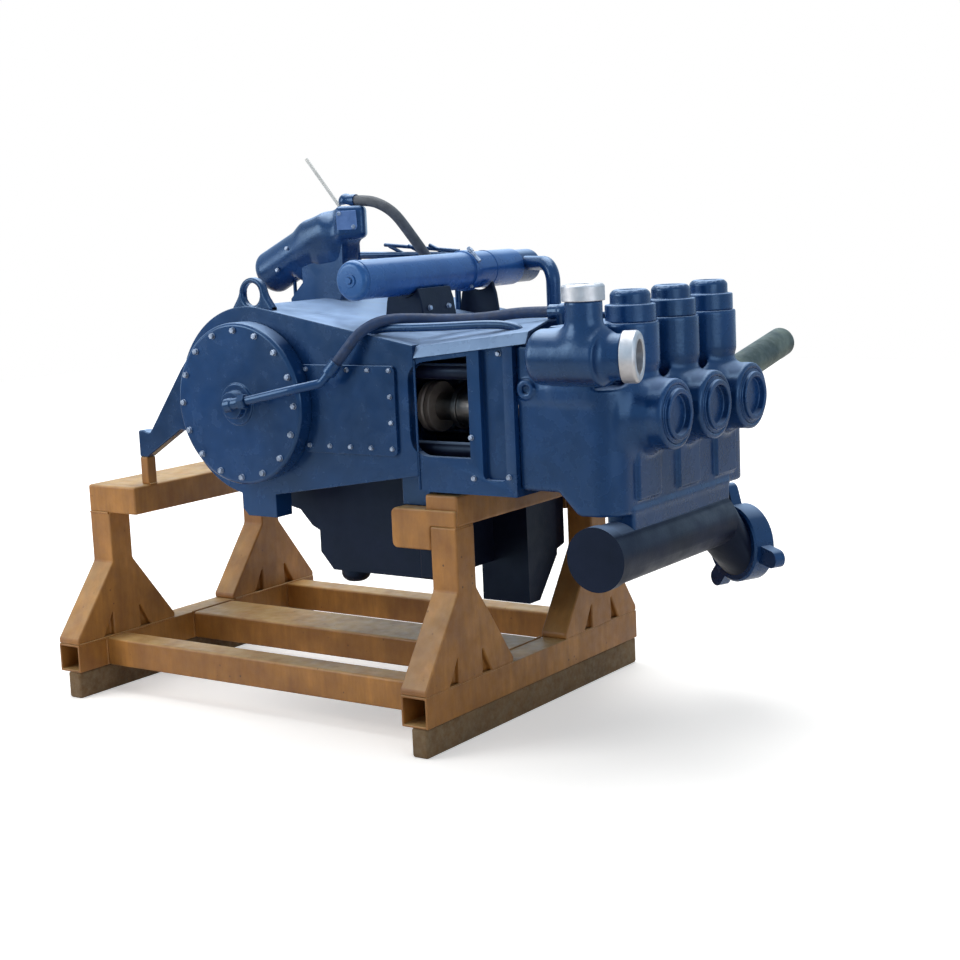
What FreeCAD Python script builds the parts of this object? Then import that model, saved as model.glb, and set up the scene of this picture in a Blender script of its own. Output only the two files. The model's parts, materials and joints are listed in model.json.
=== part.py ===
import FreeCAD, Part
import math
import os

# Triplex plunger pump on its welded storage stand.
# Working axes: X runs along the plungers from the crankshaft to the fluid end, Y along the
# crankshaft, Z up from the floor. The finished set is moved to the middle of its own footprint.

os.makedirs("parts", exist_ok=True)
V = FreeCAD.Vector
AX = V(1, 0, 0)
AY = V(0, 1, 0)
AZ = V(0, 0, 1)

# Power end: round at the crank, tapering towards the crossheads
half_width = 350.0
case_radius = 240.0
top_slope = 10.8
bottom_slope = 8.8
frame_front = 514.0
bulkhead = 400.0
skin = 25.0
cover_radius = 203.0
cover_thickness = 50.0
cover_lip = 6.0
cover_hub_radius = 34.0
cover_hub_length = 26.0
cover_hub_flange = 52.0
panel_length = 290.0
panel_height = 216.0
panel_thickness = 8.0
panel_start = 172.0
panel_drop = 10.0
panel_corner = 14.0
crank_pad_start = -50.0
crank_pad_length = 113.0
crank_pad_depth = 60.0
crank_pad_reach = 52.0
crank_pad_chamfer = 18.0

# Stand: square tube runners on solid base bars, four flared trestles, beams between
tube = 76.0
tube_wall = 6.0
runner_half = 490.0
base_height = 72.0
base_width = 46.0
base_inset = 4.0
front_runner_face = 612.0
rear_runner_face = -550.0
trestle_inset = 44.0
flare_half = 184.0
flare_lip = 14.0
flare_height = 220.0
rear_flare_height = 202.0
slot_width = 38.0
slot_height = 67.0
slot_depth = 16.0
slot_offset = 50.0
near_cross_y = -350.0
middle_cross_y = 32.0
far_cross_y = 398.0
wide_beam = 165.0
rear_beam_drop = 76.0
rear_beam_overhang = 103.0
seat_height = 562.0
front_beam_width = 94.0
front_beam_rise = 36.0
arm_reach = 97.0
arm_height = 98.0
arm_corner = 15.0
arm_plate = 10.0
lug_width = 28.0
lug_depth = 32.0
lug_height = 75.0
lug_setback = 57.0
crank_rise = 244.0

# Feet of the power end
foot_thickness = 32.0
foot_rise = 64.0
foot_bump = 10.0
foot_bump_length = 34.0
foot_throat = 14.0
foot_join_high = 18.6
foot_join_low = 24.0
foot_under_x = -318.0
foot_under_drop = 90.0
foot_behind = 85.0
foot_gap = 4.0
foot_inset = 46.0
front_foot_depth = 50.0

# Crosshead section and the folded cover that slopes over it to the fluid end
sheet = 6.0
post_length = 126.0
cross_front = 790.0
cross_bottom = 200.0
shoulder_height = 143.0
shoulder_slope = 6.6
fold_drop = 28.0
fold_run = 14.0
crown = 20.0
crown_inset = 100.0
cover_rear = 446.0
cover_front = 832.0
window_low = 116.0
window_rear = 496.0
window_lintel = 10.0
window_corner = 48.0
flange_thickness = 25.0

# Plungers
pitch = 190.0
plunger_drop = 16.0
stroke = 152.4
rest_from_back = 10.0
rod_radius = 32.0
rod_back = 196.0
clamp_radius = 62.0
clamp_start = 445.0
clamp_length = 35.0
clamp_groove = 5.0
neck_radius = 34.0
neck_length = 57.0
collar_radius = 52.0
collar_length = 14.0
plunger_radius = 44.5
plunger_end = 960.0
running_fit = 0.05
bore_end_gap = 12.0

# Stay rods
stay_radius = 19.0
stay_top = 80.0
stay_low = 106.0
stay_nut_radius = 31.0
stay_nut_length = 22.0
stay_clear = 1.0

# Fluid end
block_front = 1045.0
block_inset = 20.0
block_rear_low = -185.0
block_rear_run = 100.0
block_low = -236.0
block_low_x = 940.0
keel_x = 975.0
keel_low = -281.0
keel_far = 215.0
block_ledge = 50.0
block_ledge_x = 985.0
block_corner = 70.0
block_step = 150.0
block_step_x = 880.0
block_top = 190.0
column_x = 1012.0
column_radius = 64.0
column_crown = 52.0
cap_flange_radius = 58.0
cap_flange_height = 40.0
cap_radius = 46.0
cap_height = 73.0
cap_edge = 9.0
cap_socket_radius = 24.0
cap_socket_depth = 14.0
boss_radius = 80.0
boss_length = 80.0
boss_root = 20.0
boss_flare = 26.0
boss_flare_length = 32.0
cover_recess = 12.0
cover_nut_radius = 66.0
cover_socket_radius = 46.0
cover_socket_depth = 22.0
pad_width = 104.0
pad_height = 108.0
pad_thickness = 8.0
pad_top = -100.0
plug_x = 818.0
plug_z = 48.0
plug_radius = 23.0
plug_length = 10.0
plug_socket = 10.0
packing_bore_gap = 6.0
gland_radius = 56.0
gland_length = 26.0

# Discharge cross on the near side and its unions
cross_pipe_radius = 62.0
cross_pipe_offset = 65.0
cross_pipe_z = 128.0
cross_pipe_rear = 888.0
cross_pipe_round = 24.0
cross_pipe_lip = 52.0
cross_flange_back = 60.0
riser_x = 1014.0
riser_radius = 41.0
riser_top = 250.0
top_union_radius = 47.0
top_union_height = 37.0
union_edge = 5.0
side_turn = 17.0
side_stub_radius = 50.0
side_stub_length = 86.0
side_union_radius = 57.0
side_union_length = 35.0
top_bore = 25.5
top_socket = 30.0
side_bore = 32.0
side_socket = 38.0

# Suction manifold under the fluid end
manifold_x = 1000.0
manifold_radius = 70.0
manifold_near = -358.0
manifold_far = 205.0
manifold_drop = 20.0
end_cap_length = 32.0
end_cap_lip = 4.0
union_turn = 25.0
union_x = 1006.0
union_y = 294.0
union_drop = 81.0
union_hub_radius = 80.0
union_radius = 97.0
union_length = 62.0
union_bore = 70.0
lug_turn = 10.0
lug_reach = 155.0
lug_thickness = 30.0
lug_breadth = 44.0

# Sump under the case
sump_rear = -24.0
sump_ledge = 290.0
sump_neck_x = 12.0
sump_neck = 298.0
sump_knee_x = 50.0
sump_knee = 338.0
sump_wall_x = 74.0
sump_wall_top = 349.0
sump_wall_low = 405.0
sump_floor = 450.0
sump_chamfer = 40.0
sump_front = 440.0
sump_inset = 150.0
well_front = 545.0
well_near = 60.0
well_drop = 106.0
well_slant = 90.0
drain_x = 157.0
drain_radius = 38.0
drain_length = 32.0
drain_round = 24.0

# Oil filter, its cradle and the pipe from its head
filter_x = 330.0
filter_radius = 48.0
filter_round = 14.0
filter_near = -338.0
filter_length = 690.0
filter_clear = 117.0
head_length = 90.0
head_radius = 44.0
strap_y = 122.0
strap_width = 26.0
strap_thickness = 5.0
cradle_half = 60.0
cradle_reach = 130.0
cradle_width = 46.0
cradle_plate = 14.0
elbow_radius = 19.0
elbow_bend = 50.0
elbow_lift = 8.0
elbow_foot_x = 500.0
elbow_foot_y = 300.0

# Lifting eyes
eye_x = 12.0
eye_foot_half = 69.0
eye_top_half = 33.0
eye_bar = 21.0
eye_height = 72.0
eye_sink = 40.0
eye_thickness = 20.0
eye_inset = 6.0

# Oil pump drive
drive_x = -133.0
drive_rise = 350.0
drive_lean = 35.0
drive_radius = 55.0
drive_tail = 112.0
drive_nose = 172.0
drive_round = 24.0
drive_band = 8.0
head_x = 58.0
head_rise = 432.0
head_block_radius = 52.0
head_block_half = 44.0
port_radius = 30.0
port_reach = 64.0
port_pad = 34.0
port_pad_thickness = 10.0
leg_low_x0 = -117.0
leg_high_x0 = -74.0
leg_high_rise = 282.0
leg_low_x1 = 53.0
leg_high_x1 = 66.0
leg_half = 38.0
drip_tube_radius = 5.0
drip_tube_x = -134.0

# Hoses and small pipes
lube_pipe_radius = 11.0
lube_pipe_bend = 24.0
hose_radius = 13.0
top_hose_radius = 14.0
fitting_radius = 20.0
fitting_length = 34.0
dip_radius = 4.5
rack_y = 200.0
rack_rail = 10.0
rack_bar = 5.0

# Outlet stub on the far side
far_stub_x = 1000.0
far_stub_z = 14.0
far_stub_radius = 38.0
far_stub_length = 305.0
far_stub_lean = 11.0
far_stub_root = 30.0
far_stub_round = 12.0

# Values that follow from the sizes above
crank_height = seat_height + crank_rise
axis_z = crank_height
plunger_z = crank_height - plunger_drop
block_rear = cross_front
plunger_rows = (-pitch, 0.0, pitch)
cross_half = half_width - sheet
block_half = half_width - block_inset
runner_low = base_height
runner_top = runner_low + tube
trestle_offset = half_width - trestle_inset
post_half = tube / 2
post_face = trestle_offset + post_half
top_run = math.tan(math.radians(top_slope))
bottom_run = math.tan(math.radians(bottom_slope))
shoulder_run = math.tan(math.radians(shoulder_slope))


def box(x0, x1, y0, y1, z0, z1):
    return Part.makeBox(x1 - x0, y1 - y0, z1 - z0, V(x0, y0, z0))


def rod(start, axis, radius, length):
    return Part.makeCylinder(radius, length, start, axis)


def pipe(start, axis, radius, bore, length):
    return rod(start, axis, radius, length).cut(rod(start, axis, bore, length))


def hexagon(start, axis, radius, length):
    """Hexagonal prism whose corners lie on the radius."""
    side = V(axis.y, axis.z, axis.x)
    corners = [FreeCAD.Rotation(axis, 60 * k).multVec(side) * radius + start for k in range(7)]
    return Part.Face(Part.makePolygon(corners)).extrude(axis * length)


def flat(points, place):
    """Face inside the closed outline of flat points, each put in space by place."""
    return Part.Face(Part.makePolygon([place(*p) for p in points + points[:1]]))


def prism_y(points, y0, y1):
    """Closed outline of (x, z) points carried from y0 to y1."""
    return flat(points, lambda x, z: V(x, y0, z)).extrude(V(0, y1 - y0, 0))


def prism_x(points, x0, x1):
    """Closed outline of (y, z) points carried from x0 to x1."""
    return flat(points, lambda y, z: V(x0, y, z)).extrude(V(x1 - x0, 0, 0))


def turned(steps, start, axis):
    """Solid of revolution about an axis: steps are (distance along the axis, radius) points."""
    outline = [V(0, 0, steps[0][0])] + [V(r, 0, d) for d, r in steps] + [V(0, 0, steps[-1][0])]
    solid = Part.Face(Part.makePolygon(outline + outline[:1])).revolve(V(0, 0, 0), AZ, 360)
    solid.Placement = FreeCAD.Placement(start, FreeCAD.Rotation(AZ, axis))
    return solid


def rounded_rod(start, axis, radius, length, edge):
    """Round bar with a softened rim at its far end."""
    solid = rod(start, axis, radius, length)
    tip = start + axis * length
    rims = [e for e in solid.Edges if e.Closed and (e.CenterOfMass - tip).Length < edge / 10]
    return solid.makeFillet(edge, rims)


def upright_edges(solid, direction):
    """Straight edges of a solid that run along a direction."""
    return [e for e in solid.Edges if e.Curve.TypeId == "Part::GeomLine"
            and abs(abs(e.tangentAt(e.FirstParameter).dot(direction)) - 1) < 1e-6]


def join(shapes):
    result = shapes[0]
    for shape in shapes[1:]:
        result = result.fuse(shape)
    return result.removeSplitter()


def mirrored(shape):
    return shape.mirror(V(0, 0, 0), AY)


def pair(shape):
    return Part.makeCompound([shape, mirrored(shape)])


def route(points, bend=None):
    """Wire of straight runs with tangent arcs, of radius bend or as large as the runs allow."""
    edges = []
    radii = []
    here = points[0]
    for before, corner, after in zip(points, points[1:], points[2:]):
        into = corner - before
        out = after - corner
        half_turn = into.getAngle(out) / 2
        run = min(into.Length, out.Length)
        into.normalize()
        out.normalize()
        radius = bend or 0.45 * run / math.tan(half_turn)
        setback = radius * math.tan(half_turn)
        start = corner - into * setback
        end = corner + out * setback
        inward = (out - into).normalize()
        middle = corner + inward * (radius / math.cos(half_turn) - radius)
        edges.append(Part.LineSegment(here, start).toShape())
        edges.append(Part.Arc(start, middle, end).toShape())
        radii.append(round(radius))
        here = end
    edges.append(Part.LineSegment(here, points[-1]).toShape())
    print("bend radii", radii)
    return Part.Wire(edges)


def cord(points, radius, bend=None):
    """Round bar along a route, checked against its section times its length."""
    path = route(points, bend)
    ring = Part.Wire(Part.makeCircle(radius, points[0], points[1] - points[0]))
    solid = path.makePipeShell([ring], True, False)
    expected = math.pi * radius ** 2 * path.Length
    print("length", round(path.Length, 1), "volume over expected", round(solid.Volume / expected, 4))
    return solid


nodes = {}


# Stand
def square_tube_y(x1, half):
    """Open-ended square tube lying along Y with its outer face at x1."""
    outer = box(x1 - tube, x1, -half, half, runner_low, runner_top)
    inner = box(x1 - tube + tube_wall, x1 - tube_wall, -half, half,
                runner_low + tube_wall, runner_top - tube_wall)
    return outer.cut(inner)


def trestle(x1, centre, top, rise):
    """Post with a skirt that flares both ways along the runner, with two wedge slots at the foot."""
    low = runner_top
    knee = low + rise
    half = [(flare_half, low), (flare_half, low + flare_lip), (post_half, knee), (post_half, top)]
    outline = [(centre - y, z) for y, z in half] + [(centre + y, z) for y, z in reversed(half)]
    body = prism_x(outline, x1 - tube, x1)
    for side in (-1, 1):
        y = centre + side * slot_offset
        slot = [(y, low), (y + side * slot_width, low), (y, low + slot_height)]
        for face in (x1 - slot_depth, x1 - tube):
            body = body.cut(prism_x(slot, face, face + slot_depth))
    return body


rear_beam_low = seat_height - rear_beam_drop
front_beam_top = seat_height + front_beam_rise
front_beam_low = front_beam_top - tube
front_beam_x0 = front_runner_face - front_beam_width
rear_beam_x1 = rear_runner_face + rear_beam_overhang
rear_beam_x0 = rear_runner_face - tube


def stand():
    runners = {"front": (front_runner_face, front_beam_low, flare_height),
               "rear": (rear_runner_face, rear_beam_low, rear_flare_height)}
    for place, (face, post_top, rise) in runners.items():
        nodes["runner_" + place] = square_tube_y(face, runner_half)
        bar = face - base_inset
        nodes["base_bar_" + place] = box(bar - base_width, bar, -runner_half, runner_half, 0, base_height)
        for side, sign in (("near", -1), ("far", 1)):
            nodes["trestle_" + place + "_" + side] = trestle(face, sign * trestle_offset, post_top, rise)
    for name, centre, width in (("near", near_cross_y, tube), ("middle", middle_cross_y, wide_beam),
                                ("far", far_cross_y, tube)):
        nodes["cross_beam_" + name] = box(rear_runner_face, front_runner_face - tube,
                                          centre - width / 2, centre + width / 2, runner_low, runner_top)
    nodes["top_beam_rear"] = box(rear_beam_x0, rear_beam_x1, -post_face, post_face,
                                 rear_beam_low, seat_height)
    beam_end = post_face - arm_plate
    nodes["top_beam_front"] = box(front_beam_x0, front_runner_face, -beam_end, beam_end,
                                  front_beam_low, front_beam_top)
    nodes["front_arms"] = pair(front_arm())
    nodes["rear_lugs"] = pair(rear_lug())


def front_arm():
    """Bracket beside the post that carries the pump's front foot, with a plate over the beam end."""
    inner = front_runner_face - tube
    y0 = -post_face
    block = box(front_beam_x0 - arm_reach, front_beam_x0, y0, y0 + tube, seat_height - arm_height, seat_height)
    under = box(front_beam_x0, inner, y0, y0 + tube, seat_height - arm_height, front_beam_low)
    bracket = join([block, under])
    corner = [e for e in upright_edges(bracket, AY) if e.CenterOfMass.x < front_beam_x0]
    bracket = bracket.makeFillet(arm_corner, corner)
    plate = box(front_beam_x0, front_runner_face, y0, y0 + arm_plate, front_beam_low, seat_height)
    return join([bracket, plate])


def rear_lug():
    y0 = -post_face + lug_setback
    return box(rear_beam_x1 - lug_width, rear_beam_x1, y0, y0 + lug_depth, seat_height,
               seat_height + lug_height)


stand()


# Power end
def frame_top(x):
    return axis_z + case_radius / math.cos(math.radians(top_slope)) - top_run * x


def frame_bottom(x):
    return axis_z - case_radius / math.cos(math.radians(bottom_slope)) + bottom_run * x


def shoulder_z(x):
    return axis_z + shoulder_height + shoulder_run * (x - frame_front)


def tangent_point(slope, sign):
    angle = math.radians(90 - slope)
    return V(case_radius * math.cos(angle), -half_width, axis_z + sign * case_radius * math.sin(angle))


def window():
    """Round-cornered opening through both sides, under the sloping shoulder."""
    front = cross_front - post_length
    low = axis_z - window_low
    head = fold_drop + window_lintel
    solid = prism_y([(window_rear, low), (front, low), (front, shoulder_z(front) - head),
                     (window_rear, shoulder_z(window_rear) - head)], -half_width, half_width)
    return solid.makeFillet(window_corner, [e for e in upright_edges(solid, AY) if e.CenterOfMass.x < front])


def crank_pad():
    """Mounting pad that hangs from the round of the case."""
    x1 = crank_pad_start + crank_pad_length
    low = axis_z - case_radius - crank_pad_reach
    return prism_y([(crank_pad_start, axis_z), (crank_pad_start, low + crank_pad_chamfer),
                    (crank_pad_start + crank_pad_chamfer, low), (x1, low), (x1, axis_z)],
                   -half_width, -half_width + crank_pad_depth)


def power_frame():
    """Casing with its bulkhead, the pony rods' bores and the windows' rear ends."""
    top = tangent_point(top_slope, 1)
    low = tangent_point(bottom_slope, -1)
    back = V(-case_radius, -half_width, axis_z)
    high_front = V(frame_front, -half_width, frame_top(frame_front))
    low_front = V(frame_front, -half_width, frame_bottom(frame_front))
    wire = Part.Wire([Part.LineSegment(top, high_front).toShape(),
                      Part.LineSegment(high_front, low_front).toShape(),
                      Part.LineSegment(low_front, low).toShape(), Part.Arc(low, back, top).toShape()])
    body = Part.Face(wire).extrude(V(0, 2 * half_width, 0))
    body = body.fuse(crank_pad()).fuse(mirrored(crank_pad()))
    side = half_width - skin
    body = body.cut(prism_y([(x, z(x) + way * skin) for x, z, way in
                             ((bulkhead, frame_bottom, 1), (frame_front, frame_bottom, 1),
                              (frame_front, frame_top, -1), (bulkhead, frame_top, -1))], -side, side))
    body = body.cut(window())
    back_end = rod_back - rest_from_back - bore_end_gap
    for y in plunger_rows:
        body = body.cut(rod(V(back_end, y, plunger_z), AX, rod_radius + running_fit, bulkhead - back_end))
    return body.removeSplitter()


nodes["power_frame"] = power_frame()
case_round = rod(V(0, -half_width, axis_z), AY, case_radius, 2 * half_width)


def rear_foot():
    """Arm from the round case down to the rear lug, with a throat and a bump before its tip."""
    y0 = -post_face + lug_setback + (lug_depth - foot_thickness) / 2
    foot_low = seat_height + lug_height
    tip = rear_beam_x1 - lug_width
    high = math.radians(foot_join_high)
    low = math.radians(foot_join_low)
    foot_top = foot_low + foot_rise
    bump_end = tip + foot_bump_length
    outline = [(-case_radius * math.cos(high), axis_z + case_radius * math.sin(high)),
               (bump_end + foot_throat, foot_top), (bump_end, foot_top), (bump_end - foot_bump, foot_top + foot_bump),
               (tip, foot_top + foot_bump), (tip, foot_low), (rear_beam_x1, foot_low),
               (foot_under_x, axis_z - foot_under_drop),
               (-case_radius * math.cos(low), axis_z - case_radius * math.sin(low)), (-case_radius / 2, axis_z)]
    body = prism_y(outline, y0, y0 + foot_thickness)
    bend = [e for e in upright_edges(body, AY)
            if bump_end - foot_bump - 1 < e.CenterOfMass.x < bump_end + foot_throat + 1
            or (e.CenterOfMass.x < tip + 1 and e.CenterOfMass.z > foot_top)]
    return body.makeFillet(foot_bump / 2, bend).cut(case_round)


nodes["rear_feet"] = pair(rear_foot())


def bearing_cover():
    """Cover with a stepped rim and a hub for the rotary union."""
    steps = [(0, cover_radius), (cover_thickness - cover_lip, cover_radius),
             (cover_thickness, cover_radius - cover_lip), (cover_thickness, cover_hub_flange),
             (cover_thickness + cover_lip, cover_hub_flange), (cover_thickness + cover_lip, cover_hub_radius),
             (cover_thickness + cover_hub_length, cover_hub_radius)]
    return turned(steps, V(0, -half_width, axis_z), -AY)


nodes["bearing_cover_near"] = bearing_cover()
nodes["bearing_cover_far"] = mirrored(bearing_cover())


def side_panel():
    z = axis_z - panel_drop
    panel = box(panel_start, panel_start + panel_length, -half_width - panel_thickness, -half_width,
                z - panel_height / 2, z + panel_height / 2)
    panel = panel.makeFillet(panel_corner, upright_edges(panel, AY))
    return panel.cut(rod(V(0, -half_width - cover_thickness, axis_z), AY, cover_radius + 1, cover_thickness))


nodes["side_panels"] = pair(side_panel())


# Crosshead section
def cover_outline(inset, x):
    """Points (y, z) of the folded cover's section at x, moved inwards by an inset."""
    z = shoulder_z(x)
    half = [(half_width - inset, z - fold_drop), (half_width - fold_run - inset, z - inset),
            (half_width - crown_inset, z + crown - inset)]
    return [(-y, h) for y, h in half] + [(y, h) for y, h in reversed(half)]


def crosshead_frame():
    """Box under the folded cover, with a window on each side and a flange against the fluid end."""
    low = axis_z - cross_bottom
    sections = []
    for x in (frame_front, cross_front):
        points = [(-cross_half, low)] + cover_outline(sheet, x) + [(cross_half, low)]
        sections.append(Part.makePolygon([V(x, y, z) for y, z in points + points[:1]]))
    body = Part.makeLoft(sections, True, True)
    ceiling = shoulder_z(frame_front) - fold_drop
    side = half_width - skin
    inner_low = frame_bottom(frame_front) + skin
    body = body.cut(box(frame_front, cross_front - flange_thickness, -side, side, inner_low, ceiling))
    nut_reach = stay_nut_radius + stay_clear
    body = body.cut(box(cross_front - flange_thickness, cross_front, -side, side,
                        axis_z - stay_low + nut_reach, axis_z + stay_top - nut_reach))
    return body.cut(window()).removeSplitter()


nodes["crosshead_frame"] = crosshead_frame()


def crosshead_cover():
    """Folded sheet that slopes up from the casing over the stay rods to the fluid end."""
    points = cover_outline(0, cover_rear) + cover_outline(sheet, cover_rear)[::-1]
    length = cover_front - cover_rear
    body = flat(points, lambda y, z: V(cover_rear, y, z)).extrude(V(length, 0, shoulder_run * length))
    body = body.cut(nodes["power_frame"])
    body = body.cut(box(block_rear, cover_front, -block_half, block_half, axis_z, axis_z + block_step))
    return max(body.Solids, key=lambda solid: solid.Volume)


def front_foot():
    """Block under the casing and the crosshead section, standing on the stand's arm."""
    rear = frame_front - foot_behind
    front = front_beam_x0 - foot_gap
    outline = [(rear, seat_height), (front, seat_height), (front, frame_bottom(front)),
               (rear, frame_bottom(rear))]
    y0 = -half_width + foot_inset
    return prism_y(outline, y0, y0 + front_foot_depth)


nodes["front_feet"] = pair(front_foot().cut(nodes["crosshead_frame"]))

# Plungers: polished rod, clamp, neck and plunger on one line
neck_start = clamp_start + clamp_length
barrel_start = neck_start + neck_length
groove = clamp_length / 2
for number, y in enumerate(plunger_rows, 1):
    line = V(0, y, plunger_z)
    nodes["pony_rod_%d" % number] = turned(
        [(rod_back, rod_radius), (clamp_start, rod_radius), (clamp_start, clamp_radius),
         (clamp_start + groove - clamp_groove, clamp_radius), (clamp_start + groove, clamp_radius - clamp_groove),
         (clamp_start + groove + clamp_groove, clamp_radius), (neck_start, clamp_radius)], line, AX)
    nodes["plunger_%d" % number] = turned(
        [(neck_start, neck_radius), (barrel_start, neck_radius), (barrel_start, collar_radius),
         (barrel_start + collar_length, collar_radius), (barrel_start + collar_length, plunger_radius),
         (plunger_end, plunger_radius)], line, AX)


def stay_rods():
    """Stay rods from the bulkhead to the end flange, each with its nut against the flange."""
    solids = []
    flange_face = cross_front - flange_thickness
    for z in (stay_top, -stay_low):
        for y in (-pitch * 1.5, -pitch / 2, pitch / 2, pitch * 1.5):
            bar = rod(V(bulkhead, y, axis_z + z), AX, stay_radius, flange_face - bulkhead)
            nut = hexagon(V(flange_face, y, axis_z + z), -AX, stay_nut_radius, stay_nut_length)
            solids.append(join([bar, nut]))
    return Part.makeCompound(solids)


nodes["stay_rods"] = stay_rods()


# Fluid end
def valve_column(y):
    """Round column over each valve, crowned at its lower end where it leaves the block's face."""
    low = axis_z + block_ledge
    knee = low + column_crown
    shaft = rod(V(column_x, y, knee), AZ, column_radius, axis_z + block_top - knee)
    ball = Part.makeSphere(column_radius, V(0, 0, 0))
    stretch = FreeCAD.Matrix()
    stretch.scale(1, 1, column_crown / column_radius)
    ball = ball.transformGeometry(stretch).translated(V(column_x, y, knee))
    return shaft.fuse(ball)


def front_boss(y):
    steps = [(-boss_root, boss_radius + boss_flare), (0, boss_radius + boss_flare),
             (boss_flare_length, boss_radius), (boss_length, boss_radius)]
    return turned(steps, V(block_front, y, plunger_z), AX)


def block_body():
    """Block with its ledge in front, stepped down behind, its front corners rounded, and a keel."""
    low = axis_z + block_low
    ledge = axis_z + block_ledge
    top = axis_z + block_top
    step = axis_z + block_step
    corner_x = block_rear + block_rear_run
    rear_low = axis_z + block_rear_low
    lower = prism_y([(block_rear, rear_low), (corner_x, rear_low), (block_low_x, low), (block_front, low),
                     (block_front, ledge), (block_rear, ledge)], -block_half, block_half)
    corners = [e for e in upright_edges(lower, AZ) if e.CenterOfMass.x > block_front - 1]
    lower = lower.makeFillet(block_corner, corners)
    upper = prism_y([(block_rear, ledge), (block_ledge_x, ledge), (block_ledge_x, top), (block_step_x, top),
                     (block_step_x, step), (block_rear, step)], -block_half, block_half)
    keel = box(keel_x, block_front, block_corner - block_half, keel_far, axis_z + keel_low, low)
    return lower.fuse(upper).fuse(keel).removeSplitter()


def fluid_end():
    body = block_body()
    for y in plunger_rows:
        body = body.fuse(valve_column(y)).fuse(front_boss(y))
        body = body.fuse(box(block_front, block_front + pad_thickness, y - pad_width / 2, y + pad_width / 2,
                             axis_z + pad_top - pad_height, axis_z + pad_top))
    plug = rod(V(plug_x, -block_half, axis_z + plug_z), -AY, plug_radius, plug_length)
    body = body.fuse(plug).cut(rod(V(plug_x, -block_half, axis_z + plug_z), -AY, plug_socket, plug_length))
    reach = plunger_end + stroke - rest_from_back + bore_end_gap
    for y in plunger_rows:
        body = body.cut(rod(V(block_rear, y, plunger_z), AX, plunger_radius + packing_bore_gap,
                            reach - block_rear))
        body = body.cut(rod(V(block_front + boss_length - cover_recess, y, plunger_z), AX,
                            cover_nut_radius, cover_recess))
    return body.Solids[0]


nodes["fluid_end"] = fluid_end()
nodes["crosshead_cover"] = crosshead_cover()


def valve_cap(y):
    """Cap with a low flange, a softened rim and a round socket."""
    steps = [(0, cap_flange_radius), (cap_flange_height, cap_flange_radius), (cap_flange_height, cap_radius),
             (cap_height - cap_edge, cap_radius), (cap_height, cap_radius - cap_edge),
             (cap_height, cap_socket_radius), (cap_height - cap_socket_depth, cap_socket_radius)]
    return turned(steps, V(column_x, y, axis_z + block_top), AZ)


def front_cover(y):
    """Round cover screwed into each boss, with a deep round socket."""
    steps = [(0, cover_nut_radius), (cover_recess, cover_nut_radius),
             (cover_recess, cover_socket_radius + cover_recess), (cover_socket_depth, cover_socket_radius + cover_recess),
             (cover_socket_depth, cover_socket_radius), (cover_recess / 2, cover_socket_radius)]
    return turned(steps, V(block_front + boss_length - cover_recess, y, plunger_z), AX)


def gland(y):
    return pipe(V(block_rear - gland_length, y, plunger_z), AX, gland_radius,
                plunger_radius + running_fit, gland_length)


nodes["packing_glands"] = Part.makeCompound([gland(y) for y in plunger_rows])
nodes["valve_caps"] = Part.makeCompound([valve_cap(y) for y in plunger_rows])
nodes["front_covers"] = Part.makeCompound([front_cover(y) for y in plunger_rows])

# Discharge cross
cross_pipe_y = -block_half - cross_pipe_offset
cross_centre = V(riser_x, cross_pipe_y, axis_z + cross_pipe_z)
side_way = V(math.cos(math.radians(side_turn)), math.sin(math.radians(side_turn)), 0)


def discharge_cross():
    """Cast cross: domed pipe along the block, riser, turned side outlet and a flange to the block."""
    length = riser_x - cross_pipe_rear
    round_steps = [(length - cross_pipe_round * (1 - math.sin(turn)),
                    cross_pipe_radius - cross_pipe_round * (1 - math.cos(turn)))
                   for turn in (math.radians(15 * k) for k in range(7))]
    body = turned([(-cross_pipe_lip, cross_pipe_radius)] + round_steps, cross_centre, -AX)
    riser = rod(cross_centre, AZ, riser_radius, riser_top - cross_pipe_z)
    stub = rod(cross_centre, side_way, side_stub_radius, side_stub_length)
    flange = rod(cross_centre - AX * cross_flange_back, AY, cross_pipe_radius, cross_pipe_offset)
    body = join([body, riser, stub, flange])
    body = body.cut(rod(cross_centre, AZ, top_bore, riser_top))
    return body.cut(rod(cross_centre, side_way, side_bore, riser_top))


def union_ring(start, axis, radius, bore, length):
    """Bare ring with a softened outer rim."""
    steps = [(0, radius), (length - union_edge, radius), (length, radius - union_edge)]
    return turned(steps, start, axis).cut(rod(start, axis, bore, length))


nodes["discharge_cross"] = discharge_cross()
top_ring = union_ring(cross_centre + AZ * (riser_top - cross_pipe_z), AZ, top_union_radius, top_socket,
                      top_union_height)
side_seat = cross_centre + side_way * side_stub_length
side_ring = union_ring(side_seat, side_way, side_union_radius, side_socket, side_union_length)
nodes["discharge_unions"] = Part.makeCompound([top_ring, side_ring])

# Suction manifold
manifold_z = axis_z + block_low - manifold_radius - manifold_drop
inlet_z = manifold_z - union_drop
union_way = V(math.sin(math.radians(union_turn)), math.cos(math.radians(union_turn)), 0)
union_seat = V(union_x, union_y, inlet_z)


def suction_manifold():
    """Header against the block's keel, a capped near end and an eccentric reducer to the inlet."""
    body = rod(V(manifold_x, manifold_near, manifold_z), AY, manifold_radius, manifold_far - manifold_near)
    cap = turned([(0, manifold_radius), (0, manifold_radius + end_cap_lip),
                  (end_cap_length, manifold_radius + end_cap_lip), (end_cap_length, manifold_radius)],
                 V(manifold_x, manifold_near, manifold_z), AY)
    small = Part.Wire(Part.makeCircle(manifold_radius, V(manifold_x, manifold_far, manifold_z), AY))
    large = Part.Wire(Part.makeCircle(union_hub_radius, union_seat, union_way))
    body = body.fuse(cap).fuse(Part.makeLoft([small, large], True))
    return body.cut(nodes["fluid_end"])


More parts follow.
